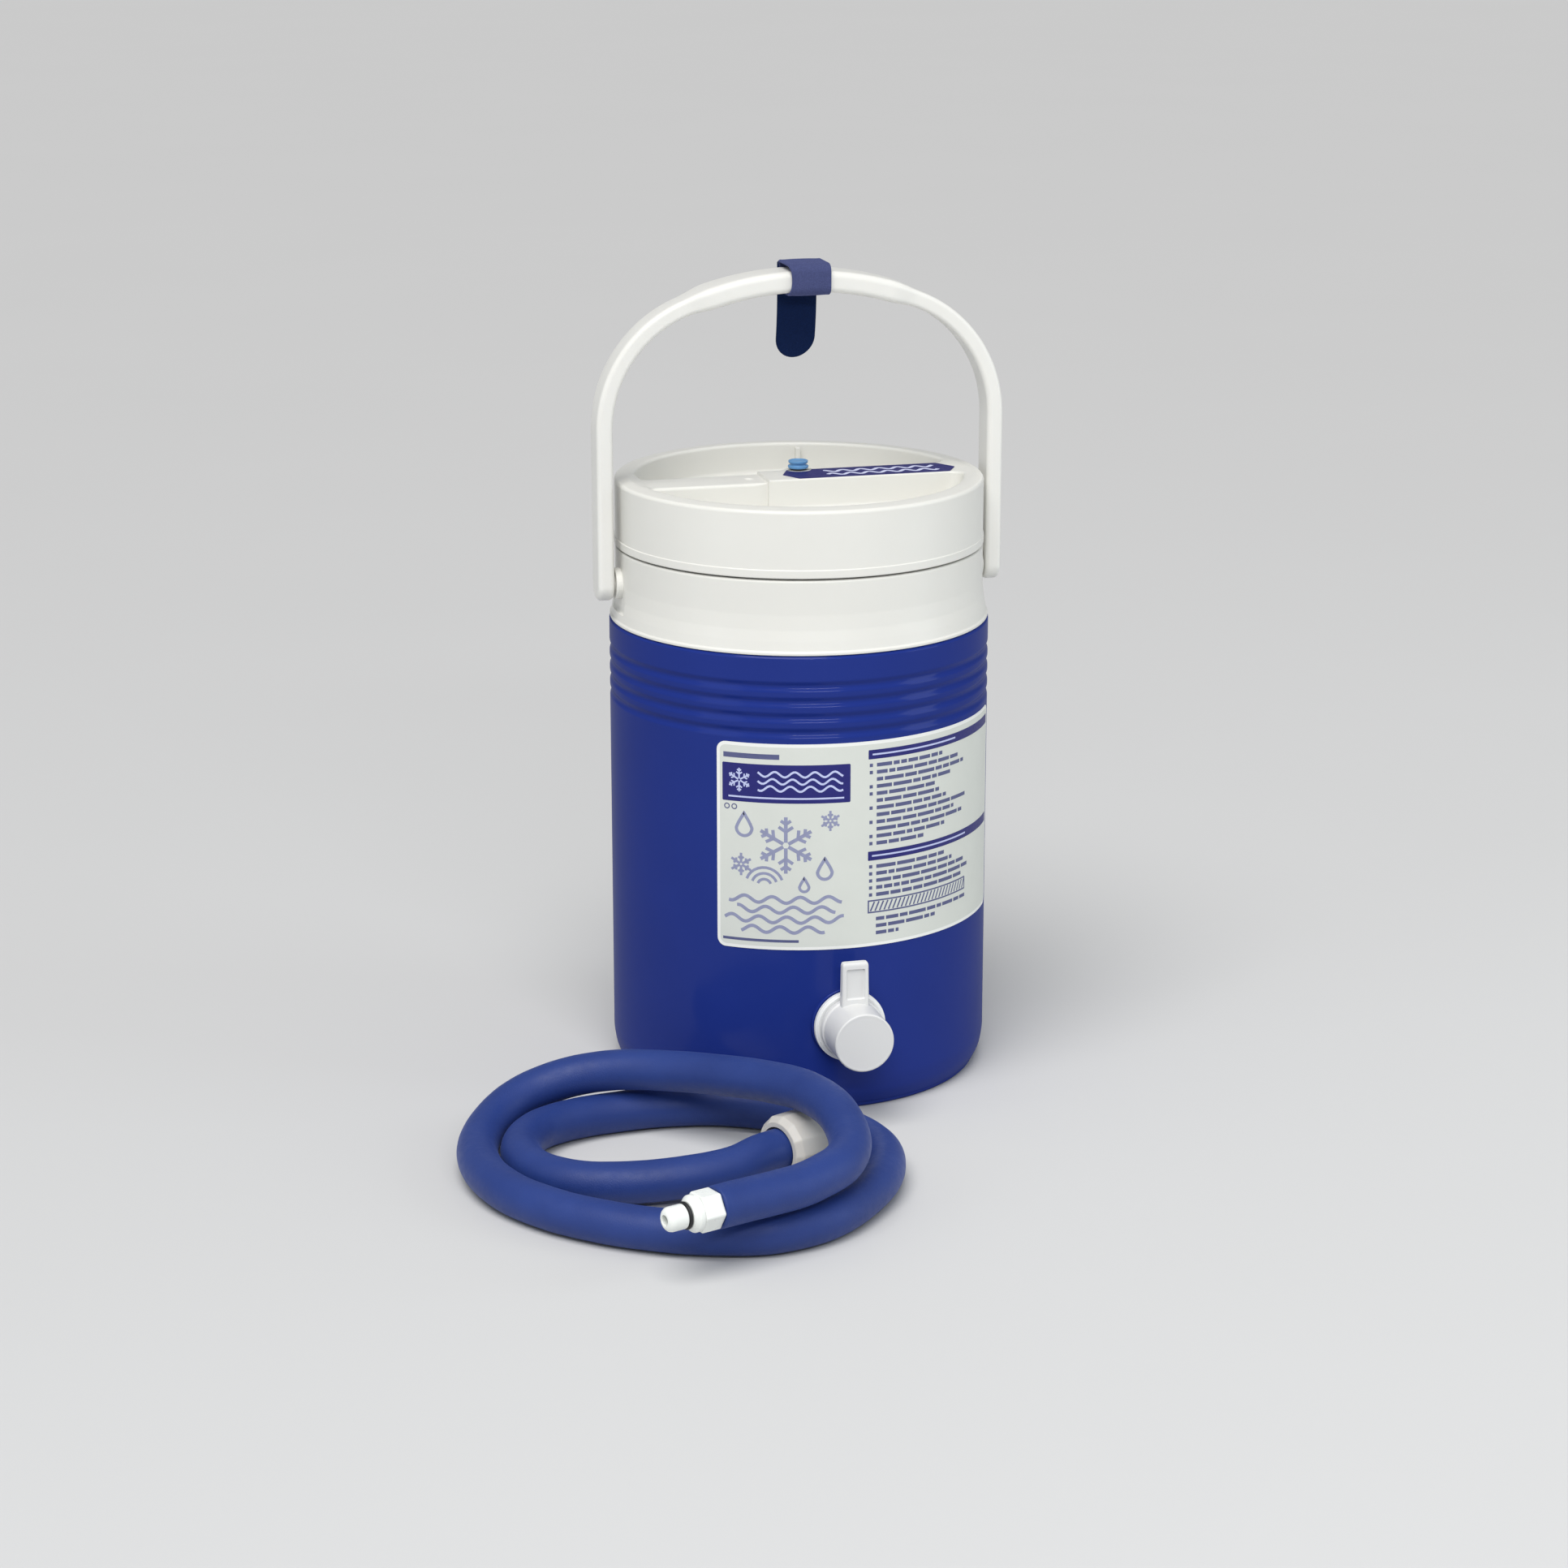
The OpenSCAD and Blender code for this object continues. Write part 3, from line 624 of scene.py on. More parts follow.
def groove(z):
    """How deep the grip grooves cut at a height."""
    return sum(0.95 * (0.5 + 0.5 * cos(pi * min(1.0, abs(z - g) / 2.9))) for g in GROOVES)


side = rounded([(0, 3.0), (82.0, 3.0, 2), (84.0, 4.5, 2), (87.6, 14, 8), (87.6, 220.5, 0.3), (89.0, 220.5, 0.25), (90.0, 219.4, 0.9), (90.0, 212.0)], step=8)
z = 211.0
while z > 180.5:
    side.append((90.0 - groove(z), z))
    z -= 0.36
side += [(90.0, 178.0), (90.0, 150.0), (90.0, 120.0), (90.0, 90.0), (90.0, 60.0), (90.0, 36.0)]
side += rounded([(90.0, 30.0), (90.0, 15.0, 22), (88.9, 8.0, 14), (86.3, 2.9, 0.5), (85.4, 2.6, 0.3), (85.4, 1.2, 0.3), (84.2, 0, 1.0), (72.0, 0, 0.4), (71.4, 0.8, 0.4), (24.6, 0.8, 0.4), (24.0, 0, 0.4), (0, 0)], step=7)


def at_outlet(v):
    """A part whose axis is +Z turned to -Y at the outlet; its z is the distance in front of the jug's axis."""
    return Vector((v.x, -v.z, v.y + 44.0))


pad = moved(lathe(rounded([(0, 87.9), (17.6, 87.9), (17.6, 90.6, 0.6), (0, 90.6)], step=18), 128), at_outlet)
bore = moved(lathe([(0, 60), (10.3, 60), (10.3, 100), (0, 100)], 96), at_outlet)
fill_hole = moved(lathe([(0, -2), (8, -2), (8, 6), (0, 6)], 64), lambda v: v + Vector((0, 48, 0)))
piece("jug_outer_shell", [lathe(side, 256)], "jug", blue_shell, ["outer_shell"], sharp=34, add=[pad], cut=[bore, fill_hole])

plug = rounded([(0, 0.9), (7.9, 0.9, 0.5), (7.9, 2.8, 0.3), (6.0, 2.8), (6.0, 5.2, 0.4), (0, 5.2)], step=20)
plug_slot = box(-4.2, 4.2, 47.2, 48.8, 0.4, 1.5)
piece("jug_fill_plug", [moved(lathe(plug, 64), lambda v: v + Vector((0, 48, 0)))], "jug", blue_plug, ["foam_fill_plug"], cut=[plug_slot])

# ------------------------------------------------------------------ white collar
ring = rounded([
    (84.6, 220.8, 0.3), (89.7, 220.8, 0.3), (89.7, 221.95, 0.5), (88.95, 222.7, 0.5), (88.35, 227, 9), (87.5, 232, 12),
    (87.0, 239, 14), (87.0, 255.0, 1.1), (80.0, 255.0, 0.8), (80.0, 261.4, 0.5), (81.0, 261.8, 0.4), (81.6, 262.5, 0.4),
    (81.6, 263.3, 0.4), (81.0, 264.0, 0.4), (80.0, 264.4, 0.4), (80.0, 266.0, 0.5), (77.1, 266.0, 0.5), (77.1, 246.0, 0.4),
    (80.0, 246.0, 0.4), (80.0, 252.4, 0.8), (84.6, 252.4, 1.2)], True, 10)
flats = [soft_box(86.7, 93, -11.5, 11.5, 226, 258, 1.2), soft_box(-93, -86.7, -11.5, 11.5, 226, 258, 1.2)]
boss = lathe(rounded([(0, 84.8), (7.4, 84.8), (7.4, 89.7, 0.6), (5.0, 89.7, 0.4), (4.5, 90.2, 0), (4.5, 95.4, 0.6), (0, 95.4)], step=18), 64)
bosses = [moved(boss, lambda v, s=s: Vector((s * v.z, v.y, 239.5 + v.x))) for s in (1, -1)]
collar = raw("jug_collar", [lathe(ring, 256, True)])
carve(collar, flats)
carve(collar, bosses, "UNION")
dress(collar, "jug", white_collar, ["collar"], 34)

# ------------------------------------------------------------------ outlet
seal = rounded([(10.4, 90.6, 0.2), (16.0, 90.6, 0.2), (16.0, 91.6, 0.3), (10.4, 91.6, 0.2)], True, 30)
piece("outlet_face_washer", [moved(lathe(seal, 96, True), at_outlet)], "jug", rubber_seal, ["outlet_washer"])
spigot = [(7, 64.0), (7.5, 63.5), (9.6, 63.5), (10.0, 63.9), (10.0, 91.6)]
spigot += rounded([(10.0, 91.6), (17.0, 91.6, 0.3), (17.0, 94.0, 1.0), (16.2, 94.3, 0.5), (15.8, 94.8, 0.4), (10.6, 94.8, 0.4)], step=15)[1:]
for y in (101.0, 105.5, 110.0):
    spigot += [(10.6, y), (10.8, y + 0.25), (11.0, y + 0.6), (11.0, y + 1.0), (10.8, y + 1.35), (10.6, y + 1.6)]
spigot += [(10.6, 113.1), (10.2, 113.7), (7.4, 113.7), (7.0, 113.3)]
piece("outlet_spigot", [moved(lathe(spigot, 128, True), at_outlet)], "jug", white_fitting, ["outlet_fitting"], sharp=34)

drum = rounded([
    (11.6, 95.4, 0.3), (14.8, 95.4, 0.4), (14.8, 98.2, 0.9), (14.05, 98.9, 0.5), (14.0, 118.6, 1.5), (12.2, 118.5, 0.2),
    (0, 118.5)], step=9)
drum += [(0, 116.0), (11.2, 116.0), (11.6, 115.6)]


def tab_part():
    """Upright thumb tab: a slightly tapered blade with rounded edges."""
    out = []
    for z, w, y0, y1 in ((52.0, 6.65, -98.0, -103.0), (57.5, 6.5, -98.0, -103.0), (66.0, 6.35, -98.1, -102.9), (76.1, 6.25, -98.2, -102.8), (76.9, 6.1, -98.35, -102.65), (77.45, 5.75, -98.7, -102.3), (77.7, 5.15, -99.2, -101.8)):
        r = 1.0 if z < 77 else 0.7
        out.append([Vector((x, y, z)) for x, y in rounded([(-w, y0, r), (-w, y1, r), (w, y1, r), (w, y0, r)], True, 18)])
    return rings(out)


panel = soft_box(-4.5, 4.5, -106, -101.9, 60.0, 74.7, 0.8)
cap_ob = raw("outlet_cap_drum", [moved(lathe(drum, 128), at_outlet), moved(lathe([drum[-1], drum[0]], 128), at_outlet)])
carve(cap_ob, [tab_part()], "UNION")
inside = moved(lathe([(0, 95.0), (11.55, 95.0), (11.55, 115.9), (0, 115.9)], 128), at_outlet)
carve(cap_ob, [panel, inside])
dress(cap_ob, "cap", white_cap, ["outlet_cap"], 34)

disc = rounded([(0, 113.9), (11.1, 113.9, 0.3), (11.1, 115.9, 0.3), (0, 115.9)], step=30)
piece("outlet_cap_seal", [moved(lathe(disc, 96), at_outlet)], "cap_seal", rubber_seal, ["cap_seal"])

# ------------------------------------------------------------------ lid
TOP_SEGS = 256
RIM_R, DISH_R, FLOOR = 83.6, 77.5, 272.0
STEP_X = -17.5


def lid_height(x, y):
    """Height of the lid's top surface: rim, grip bar, its lower left part and the dimple."""
    r = hypot(x, y)
    bar = 285.6 if x < STEP_X + 0.2 else 287.0
    z = bar + (287.5 - bar) * smooth((r - 73.5) / 5.5)
    z -= 0.55 * smooth((r - 80.5) / 5.5)
    d = hypot(x + 24, y - 1)
    return z - 0.7 * smooth((2.6 - d) / 1.6)


def corner(yline, side, q):
    """Centre and tangent points of the rounding between the dish wall and a straight bar edge."""
    sy = -1 if yline < 0 else 1
    cy = yline + sy * q
    cx = side * sqrt((DISH_R - q) ** 2 - cy * cy)
    k = DISH_R / hypot(cx, cy)
    return (cx, cy), (cx, yline), (cx * k, cy * k)


def arc_pts(c, a, b, n):
    """n steps from a to b around c, the short way, without the first point."""
    a0 = math.atan2(a[1] - c[1], a[0] - c[0])
    a1 = math.atan2(b[1] - c[1], b[0] - c[0])
    d = (a1 - a0 + pi) % (2 * pi) - pi
    r = hypot(a[0] - c[0], a[1] - c[1])
    return [(c[0] + r * cos(a0 + d * i / n), c[1] + r * sin(a0 + d * i / n)) for i in range(1, n + 1)]


def wall_arc(a, b, through, n):
    """n steps along the dish wall from a to b, passing the angle through (degrees)."""
    a0, a1 = math.atan2(a[1], a[0]), math.atan2(b[1], b[0])
    t = radians(through)
    d = (a1 - a0) % (2 * pi)
    if not (t - a0) % (2 * pi) < d:
        d -= 2 * pi
    return [(DISH_R * cos(a0 + d * i / n), DISH_R * sin(a0 + d * i / n)) for i in range(1, n + 1)]


def front_outline():
    """Front pocket, clockwise from the left end of the bar's front edge: (x, y, top radius, floor radius)."""
    cl, ll, wl = corner(-10.4, -1, 6.0)
    cr, lr, wr = corner(-12.0, 1, 6.0)
    pts = []
    n = 20
    for i in range(n):
        pts.append((ll[0] + (STEP_X - 7 - ll[0]) * i / n, -10.4, 1.5, 3.0))
    for d, f, g in ((7, 1.5, 3.0), (4.5, 1.3, 2.4), (2.6, 0.9, 1.4), (1.5, 0.6, 0.8), (0.85, 0.45, 0.4), (0, 0.4, 0.3)):
        pts.append((STEP_X - d, -10.4, f, g))
    pts.append((STEP_X, -12.0, 0.4, 0.3))
    for d, f, g in ((0.6, 0.5, 0.4), (1.6, 0.7, 1.0), (3.2, 0.8, 2.2), (6, 0.8, 3.0)):
        pts.append((STEP_X + d, -12.0, f, g))
    n = 28
    for i in range(1, n + 1):
        pts.append((STEP_X + 6 + (lr[0] - STEP_X - 6) * i / n, -12.0, 0.8, 3.0))
    pts += [(x, y, 0.8 + 0.7 * (i + 1) / 9, 3.0) for i, (x, y) in enumerate(arc_pts(cr, lr, wr, 9))]
    pts += [(x, y, 1.5, 3.0) for x, y in wall_arc(wr, wl, -90, 110)]
    pts += [(x, y, 1.5, 3.0) for x, y in arc_pts(cl, wl, ll, 9)][:-1]
    return pts


def back_outline():
    """Back pocket, with the rounded boss round the vent."""
    c1, l1, w1 = corner(12.0, -1, 6.0)
    c2, l2, w2 = corner(12.0, 1, 6.0)
    bx, by, br, q = 2.5, 10.5, 7.6, 3.0
    # fillet of radius q between the bar's edge and the boss
    fy = 12.0 + q
    fx = sqrt((br + q) ** 2 - (fy - by) ** 2)
    pts = []
    n = 20
    for i in range(n):
        pts.append((l1[0] + (STEP_X - 3 - l1[0]) * i / n, 12.0))
    pts += [(STEP_X - d, 12.0) for d in (3, 1.5, 0.7, 0.0)]
    pts += [(STEP_X + d, 12.0) for d in (0.4, 1.0, 2.4)]
    pts += [(STEP_X + 5 + (bx - fx - STEP_X - 5) * i / 4, 12.0) for i in range(4)]
    k = br / (br + q)
    tl = (bx - fx * k, by + (fy - by) * k)
    tr = (bx + fx * k, by + (fy - by) * k)
    pts.append((bx - fx, 12.0))
    pts += arc_pts((bx - fx, fy), (bx - fx, 12.0), tl, 5)
    a0, a1 = math.atan2(tl[1] - by, tl[0] - bx), math.atan2(tr[1] - by, tr[0] - bx)
    pts += [(bx + br * cos(a0 + (a1 - a0) * i / 18), by + br * sin(a0 + (a1 - a0) * i / 18)) for i in range(1, 19)]
    pts += arc_pts((bx + fx, fy), tr, (bx + fx, 12.0), 5)
    n = 26
    pts += [(bx + fx + (l2[0] - bx - fx) * i / n, 12.0) for i in range(1, n + 1)]
    pts += arc_pts(c2, l2, w2, 9)
    pts += wall_arc(w2, w1, 90, 110)
    pts += arc_pts(c1, w1, l1, 9)[:-1]
    return [(x, y, 1.5, 3.0) for x, y in pts]


def outward(pts):
    """Mitre vector out of the pocket at each outline point."""
    n = len(pts)
    area = sum(pts[i][0] * pts[(i + 1) % n][1] - pts[(i + 1) % n][0] * pts[i][1] for i in range(n))
    s = 1 if area > 0 else -1
    out = []
    for i in range(n):
        a, p, b = (Vector(pts[j % n][:2]) for j in (i - 1, i, i + 1))
        e1, e2 = (p - a).normalized(), (b - p).normalized()
        n1, n2 = Vector((e1.y, -e1.x)) * s, Vector((e2.y, -e2.x)) * s
        m = n1 + n2
        out.append(m / max(0.3, 1 + n1.dot(n2)))
    return out


def triangles(loops, extra, keep, constraints=()):
    """2-D triangulation with the loops as constraints; keep(x, y) picks the triangles by their middle."""
    pts, edges = [], []
    for loop in loops:
        o = len(pts)
        pts += [Vector(p) for p in loop]
        edges += [(o + i, o + (i + 1) % len(loop)) for i in range(len(loop))]
    for line in constraints:
        o = len(pts)
        pts += [Vector(p) for p in line]
        edges += [(o + i, o + i + 1) for i in range(len(line) - 1)]
    pts += [Vector(p) for p in extra]
    v, e, f, *_ = delaunay_2d_cdt(pts, edges, [], 0, 1e-5)
    v = [(p.x, p.y) for p in v]
    good = []
    for t in f:
        cx, cy = sum(v[i][0] for i in t) / len(t), sum(v[i][1] for i in t) / len(t)
        if keep(cx, cy):
            good.append(list(t))
    return v, good


def inside_loop(loop, x, y):
    hit, n = False, len(loop)
    for i in range(n):
        (x1, y1), (x2, y2) = loop[i], loop[(i + 1) % n]
        if (y1 > y) != (y2 > y) and x < (x2 - x1) * (y - y1) / (y2 - y1) + x1:
            hit = not hit
    return hit


lid_parts, top_loops = [], []
for outline in (front_outline(), back_outline()):
    m = outward(outline)
    draft = 0.3
    top = [(p[0] + m[i].x * p[2], p[1] + m[i].y * p[2]) for i, p in enumerate(outline)]
    heights = []
    for i, p in enumerate(outline):
        h = lid_height(*top[i])
        heights.append(h)
    rows = []
    for k in range(7):
        a = radians(15 * k)
        rows.append([Vector((p[0] + m[i].x * p[2] * (1 - sin(a)), p[1] + m[i].y * p[2] * (1 - sin(a)), heights[i] - p[2] * (1 - cos(a)))) for i, p in enumerate(outline)])
    for t in (0.25, 0.6, 1.0):
        rows.append([Vector((p[0] - m[i].x * draft * t, p[1] - m[i].y * draft * t, (heights[i] - p[2]) * (1 - t) + (FLOOR + p[3]) * t)) for i, p in enumerate(outline)])
    for k in range(1, 6):
        b = radians(18 * k)
        rows.append([Vector((p[0] - m[i].x * (draft + p[3] * (1 - cos(b))), p[1] - m[i].y * (draft + p[3] * (1 - cos(b))), FLOOR + p[3] * (1 - sin(b)))) for i, p in enumerate(outline)])
    lid_parts.append(rings(rows, cap=False))
    bottom = [(p.x, p.y) for p in rows[-1]]
    v, f = triangles([bottom], [], lambda x, y: inside_loop(bottom, x, y))
    lid_parts.append(([(x, y, FLOOR) for x, y in v], f))
    top_loops.append(top)

circle = [(RIM_R * cos(2 * pi * k / TOP_SEGS), RIM_R * sin(2 * pi * k / TOP_SEGS)) for k in range(TOP_SEGS)]
extra = []
for r, n in ((82.4, 192), (81.0, 160), (80.0, 144)):
    extra += [(r * cos(2 * pi * (k + 0.5) / n), r * sin(2 * pi * (k + 0.5) / n)) for k in range(n)]
for i in range(-38, 39):
    for j in range(-4, 5):
        x, y = i * 2.0 + 0.3, j * 2.1
        if abs(x - STEP_X) > 1.2 and hypot(x + 24, y - 1) > 3.4 and not inside_loop(top_loops[0], x, y - 0.5) and not inside_loop(top_loops[1], x, y + 0.5):
            extra.append((x, y))
for r, n in ((0.6, 8), (1.0, 12), (1.4, 16), (1.8, 18), (2.2, 20), (2.6, 22), (3.0, 22)):
    extra += [(-24 + r * cos(2 * pi * k / n), 1 + r * sin(2 * pi * k / n)) for k in range(n)]
extra += [(-24, 1)]
step_lines = [[(STEP_X, -9.3 + i * 19.8 / 12) for i in range(13)], [(STEP_X + 0.4, -9.9 + i * 20.4 / 12) for i in range(13)]]
v, f = triangles([circle] + top_loops, extra, lambda x, y: hypot(x, y) < RIM_R and not any(inside_loop(t, x, y) for t in top_loops), step_lines)
lid_parts.append(([(x, y, lid_height(x, y)) for x, y in v], f))
edge_z = lid_height(RIM_R, 0)
skirt = rounded([(RIM_R, edge_z), (87.0, edge_z - 0.25, 3.3), (87.0, 259.95, 0.3), (87.35, 259.6, 0.25), (87.35, 255.9, 0.6), (84.6, 255.9, 0.4),
                 (84.6, 258.6, 0.3), (83.0, 259.2, 0.3), (82.4, 259.8, 0.3), (82.4, 260.4, 0.3), (83.0, 261.0, 0.3), (84.6, 261.6, 0.3),
                 (84.6, 284.3, 0.8), (80.0, 284.3, 0.8), (80.0, 269.5, 0.4), (0, 269.5)], step=9)
lid_parts.append(lathe(skirt, TOP_SEGS))
rib = soft_box(18.0, 20.4, 72.7, 78.6, 271.0, 285.2, 0.5)
stem_hole = moved(lathe([(0, 262), (2.9, 262), (2.9, 300), (0, 300)], 48), lambda v: v + Vector((2.5, 10.5, 0)))
lid = raw("lid_top", lid_parts)
carve(lid, [rib], "UNION")
carve(lid, [stem_hole])
dress(lid, "lid", white_lid, ["lid_shell"], 34)


def draped(outline, low, high, spacing=2.0):
    """A thin film with this outline that lies on the lid's top surface."""
    xs, ys = [p[0] for p in outline], [p[1] for p in outline]
    grid = []
    x = min(xs) + spacing
    while x < max(xs) - spacing / 2:
        y = min(ys) + spacing
        while y < max(ys) - spacing / 2:
            if all(inside_loop(outline, x + a, y + b) for a, b in ((0.5, 0), (-0.5, 0), (0, 0.5), (0, -0.5))):
                grid.append((x, y))
            y += spacing
        x += spacing
    v, f = triangles([outline], grid, lambda x, y: inside_loop(outline, x, y))
    up = [(x, y, lid_height(max(x, STEP_X + 1), y) + high) for x, y in v]
    dn = [(x, y, lid_height(max(x, STEP_X + 1), y) + low) for x, y in v]
    n = len(v)
    faces = [t for t in f] + [[i + n for i in reversed(t)] for t in f]
    seen = {}
    for t in f:
        for a, b in zip(t, t[1:] + t[:1]):
            seen[(a, b)] = True
    for a, b in list(seen):
        if (b, a) not in seen:
            faces.append([b, a, a + n, b + n])
    return up + dn, faces


film = rounded([(-8, -1, 0.5), (-2.5, -11.1, 1.2), (71, -11.1, 1.4), (76.0, -2.5, 1.0), (70, 9.4, 1.4), (9.0, 9.4, 0.4)], False, 20)[1:-1]
film = [(-8, -1)] + film
notch = []
for i in range(13):
    a = radians(-14 - 152 * i / 12)
    notch.append((2.5 + 6.3 * cos(a), 10.5 + 6.3 * sin(a)))
film = film + [(8.6, 9.4)] + notch + [(-3.6, 9.4)]
piece("lid_strip", [draped(film, 0.01, 0.22)], "lid", lid_film, ["lid_label"], sharp=40)


def ribbon(points, width):
    """Closed 2-D outline of a stroke along points."""
    left, right = [], []
    n = len(points)
    for i in range(n):
        a, b = Vector(points[max(0, i - 1)]), Vector(points[min(n - 1, i + 1)])
        t = (b - a).normalized()
        p = Vector(points[i])
        left.append((p.x - t.y * width / 2, p.y + t.x * width / 2))
        right.append((p.x + t.y * width / 2, p.y - t.x * width / 2))
    return left + right[::-1]


waves = []
for k, y0 in enumerate((-4.9, 2.4)):
    waves.append(draped(ribbon([(13 + i * 0.7, y0 + 1.9 * sin(i * 0.7 * 2 * pi / 9 + k * 1.4)) for i in range(78)], 2.0), 0.20, 0.25, 50))
piece("lid_strip_waves", waves, "lid", ink_strip, sharp=40)

# --- inside of the lid
cup = rounded([(0, 250.0), (72.9, 250.0, 2.0), (72.9, 269.4, 0.4), (70.9, 269.4, 0.4), (70.9, 252.0, 1.2), (0, 252.0)], step=15)
piece("lid_inner_cup", [lathe(cup, 192)], "lid", white_liner, ["lid_liner"],
      cut=[moved(lathe([(0, 245), (2.0, 245), (2.0, 256), (0, 256)], 32), lambda v: v + Vector((2.5, 10.5, 0)))])
gasket = rounded([(74.4, 267.6, 0.5), (76.2, 267.6, 0.3), (76.5, 268.0, 0.2), (77.4, 268.0, 0.2), (77.7, 267.6, 0.3), (79.8, 267.6, 0.5), (79.8, 269.4, 0.4), (74.4, 269.4, 0.4)], True, 30)
piece("lid_ring_gasket", [lathe(gasket, 192, True)], "lid_gasket", rubber_seal, ["lid_gasket"])

# --- vent plug
vent = rounded([(0, 280), (2.5, 280, 0.5), (2.5, 287.9, 0.2), (4.8, 288.0, 0.25), (4.95, 289.15, 0.3), (3.9, 289.4, 0.25), (3.9, 290.2, 0.25), (4.55, 290.4, 0.25),
                (4.7, 291.6, 0.3), (3.7, 291.6, 0.2), (3.5, 291.2, 0.2), (0, 291.2)], step=18)


def vent_radius(a, r, z):
    """Finger serrations on the two rims."""
    if r > 4.4 and z > 287.9:
        return r - 0.12 * (0.5 + 0.5 * cos(a * 24))
    return r


to_vent = lambda v: v + Vector((2.5, 10.5, 0))
piece("vent_stopper", [moved(lathe(vent, 144, False, vent_radius), to_vent)], "vent", vent_plastic, ["vent_plug"], sharp=34)
piece("vent_seal_ring", [moved(lathe(torus(3.4, 0.45, 287.55, 16), 48, True), to_vent)], "vent", rubber_seal, ["vent_oring"], sharp=180)

# ------------------------------------------------------------------ carry handle
PIVOT_Z, ARM_X, ARCH_R, CORNER_R, GRIP_Z = 239.5, 94.5, 150.0, 60.0, 379.0
ARCH_C = GRIP_Z - ARCH_R
ARCH_A = math.asin((ARM_X - CORNER_R) / (ARCH_R - CORNER_R))
CORNER_Z = ARCH_C + (ARCH_R - CORNER_R) * cos(ARCH_A)


def handle_path():
    """Right half of the bail's middle line from the pivot to the top: (point, tangent)."""
    out = []
    n = 24
    for i in range(n):
        z = PIVOT_Z + (CORNER_Z - PIVOT_Z) * i / n
        out.append((Vector((ARM_X, 0, z)), Vector((0, 0, 1))))
    n = 30
    for i in range(n):
        a = (pi / 2 - ARCH_A) * i / n
        out.append((Vector((ARM_X - CORNER_R + CORNER_R * cos(a), 0, CORNER_Z + CORNER_R * sin(a))), Vector((-sin(a), 0, cos(a)))))
    n = 40
    for i in range(n + 1):
        a = ARCH_A * (1 - i / n)
        out.append((Vector((ARCH_R * sin(a), 0, ARCH_C + ARCH_R * cos(a))), Vector((-cos(a), 0, sin(a)))))
    return out


def fixed_section(hin, hout, hy, r):
    """The same count of points whatever the sizes."""
    pts = []
    k = 8
    for i in range(5):
        pts.append((hout, (hy - r) * i / 5))
    for i in range(k + 1):
        a = pi / 2 * i / k
        pts.append((hout - r + r * cos(a), hy - r + r * sin(a)))
    for i in range(1, 5):
        pts.append((hout - r - (hin + hout - 2 * r) * i / 5, hy))
    for i in range(k + 1):
        a = pi / 2 * i / k
        pts.append((-hin + r - r * sin(a), hy - r + r * cos(a)))
    for i in range(1, 6):
        pts.append((-hin, (hy - r) * (1 - i / 5)))
    # crown: the middle of the outer face stands a little proud of its edges
    pts = [(x + (0.22 * (1 - (y / hy) ** 2) if x > 0 else 0), y) for x, y in pts]
    other = [(x, -y) for x, y in pts[-2:0:-1]]
    return pts + other, len(pts)


def sizes(angle):
    """Half sizes of the section at an angle from the top of the arch (degrees; 90 on the arms)."""
    t = 1 - smooth((angle - 16.5) / 5.5)
    hy = 7.75 + 2.25 * t
    hin = 3.9 + 1.3 * t
    hout = 3.75 + 1.0 * t
    return hin, hout, hy, 2.1 + 0.8 * t


half = handle_path()
sections = []
for p, t in half:
    ang = 90.0 if p.z < CORNER_Z + 0.01 else degrees(math.atan2(abs(p.x), p.z - ARCH_C))
    sec, _ = fixed_section(*sizes(ang))
    n = Vector((t.z, 0, -t.x))  # outwards
    sections.append([p + n * a + Vector((0, b, 0)) for a, b in sec])
left = [[Vector((-v.x, v.y, v.z)) for v in s] for s in sections[:-1]][::-1]
handle_rows = sections + left
sec, count = fixed_section(*sizes(90.0))


def foot(side):
    """Half-round lower end of an arm, turned about the pivot axis."""
    out = []
    for k in range(1, 13):
        a = pi / 2 * k / 12
        row = []
        for x, y in sec:
            s = 1 if y >= 0 else -1
            row.append(Vector((side * (ARM_X + x), s * abs(y) * cos(a), PIVOT_Z - abs(y) * sin(a))))
        out.append(row)
    return out


verts, faces = rings(foot(1)[::-1] + handle_rows + foot(-1), cap=False)
sockets = [moved(lathe([(0, 86.0), (4.58, 86.0), (4.58, 95.5), (4.2, 95.9), (0, 95.9)], 64), lambda v, s=s: Vector((s * v.z, v.y, PIVOT_Z + v.x))) for s in (1, -1)]
piece("carry_bail", [(verts, faces)], "handle", white_handle, ["handle"], sharp=50, cut=sockets)

# ------------------------------------------------------------------ hook-and-loop strap
def loop_path(hy, hz, cz, r, n=10):
    """Closed rounded rectangle in YZ: (point, outward normal)."""
    corners = rounded([(-hy, -hz, r), (hy, -hz, r), (hy, hz, r), (-hy, hz, r)], True, 90.0 / n)
    dense = []
    m = len(corners)
    for i in range(m):
        a, b = Vector(corners[i]), Vector(corners[(i + 1) % m])
        k = max(1, int((b - a).length / 1.2))
        for j in range(k):
            dense.append(a.lerp(b, j / k))
    out = []
    m = len(dense)
    for i, p in enumerate(dense):
        t = (dense[(i + 1) % m] - dense[i - 1]).normalized()
        out.append((Vector((0, p.x, p.y + cz)), Vector((0, t.y, -t.x))))
    return out


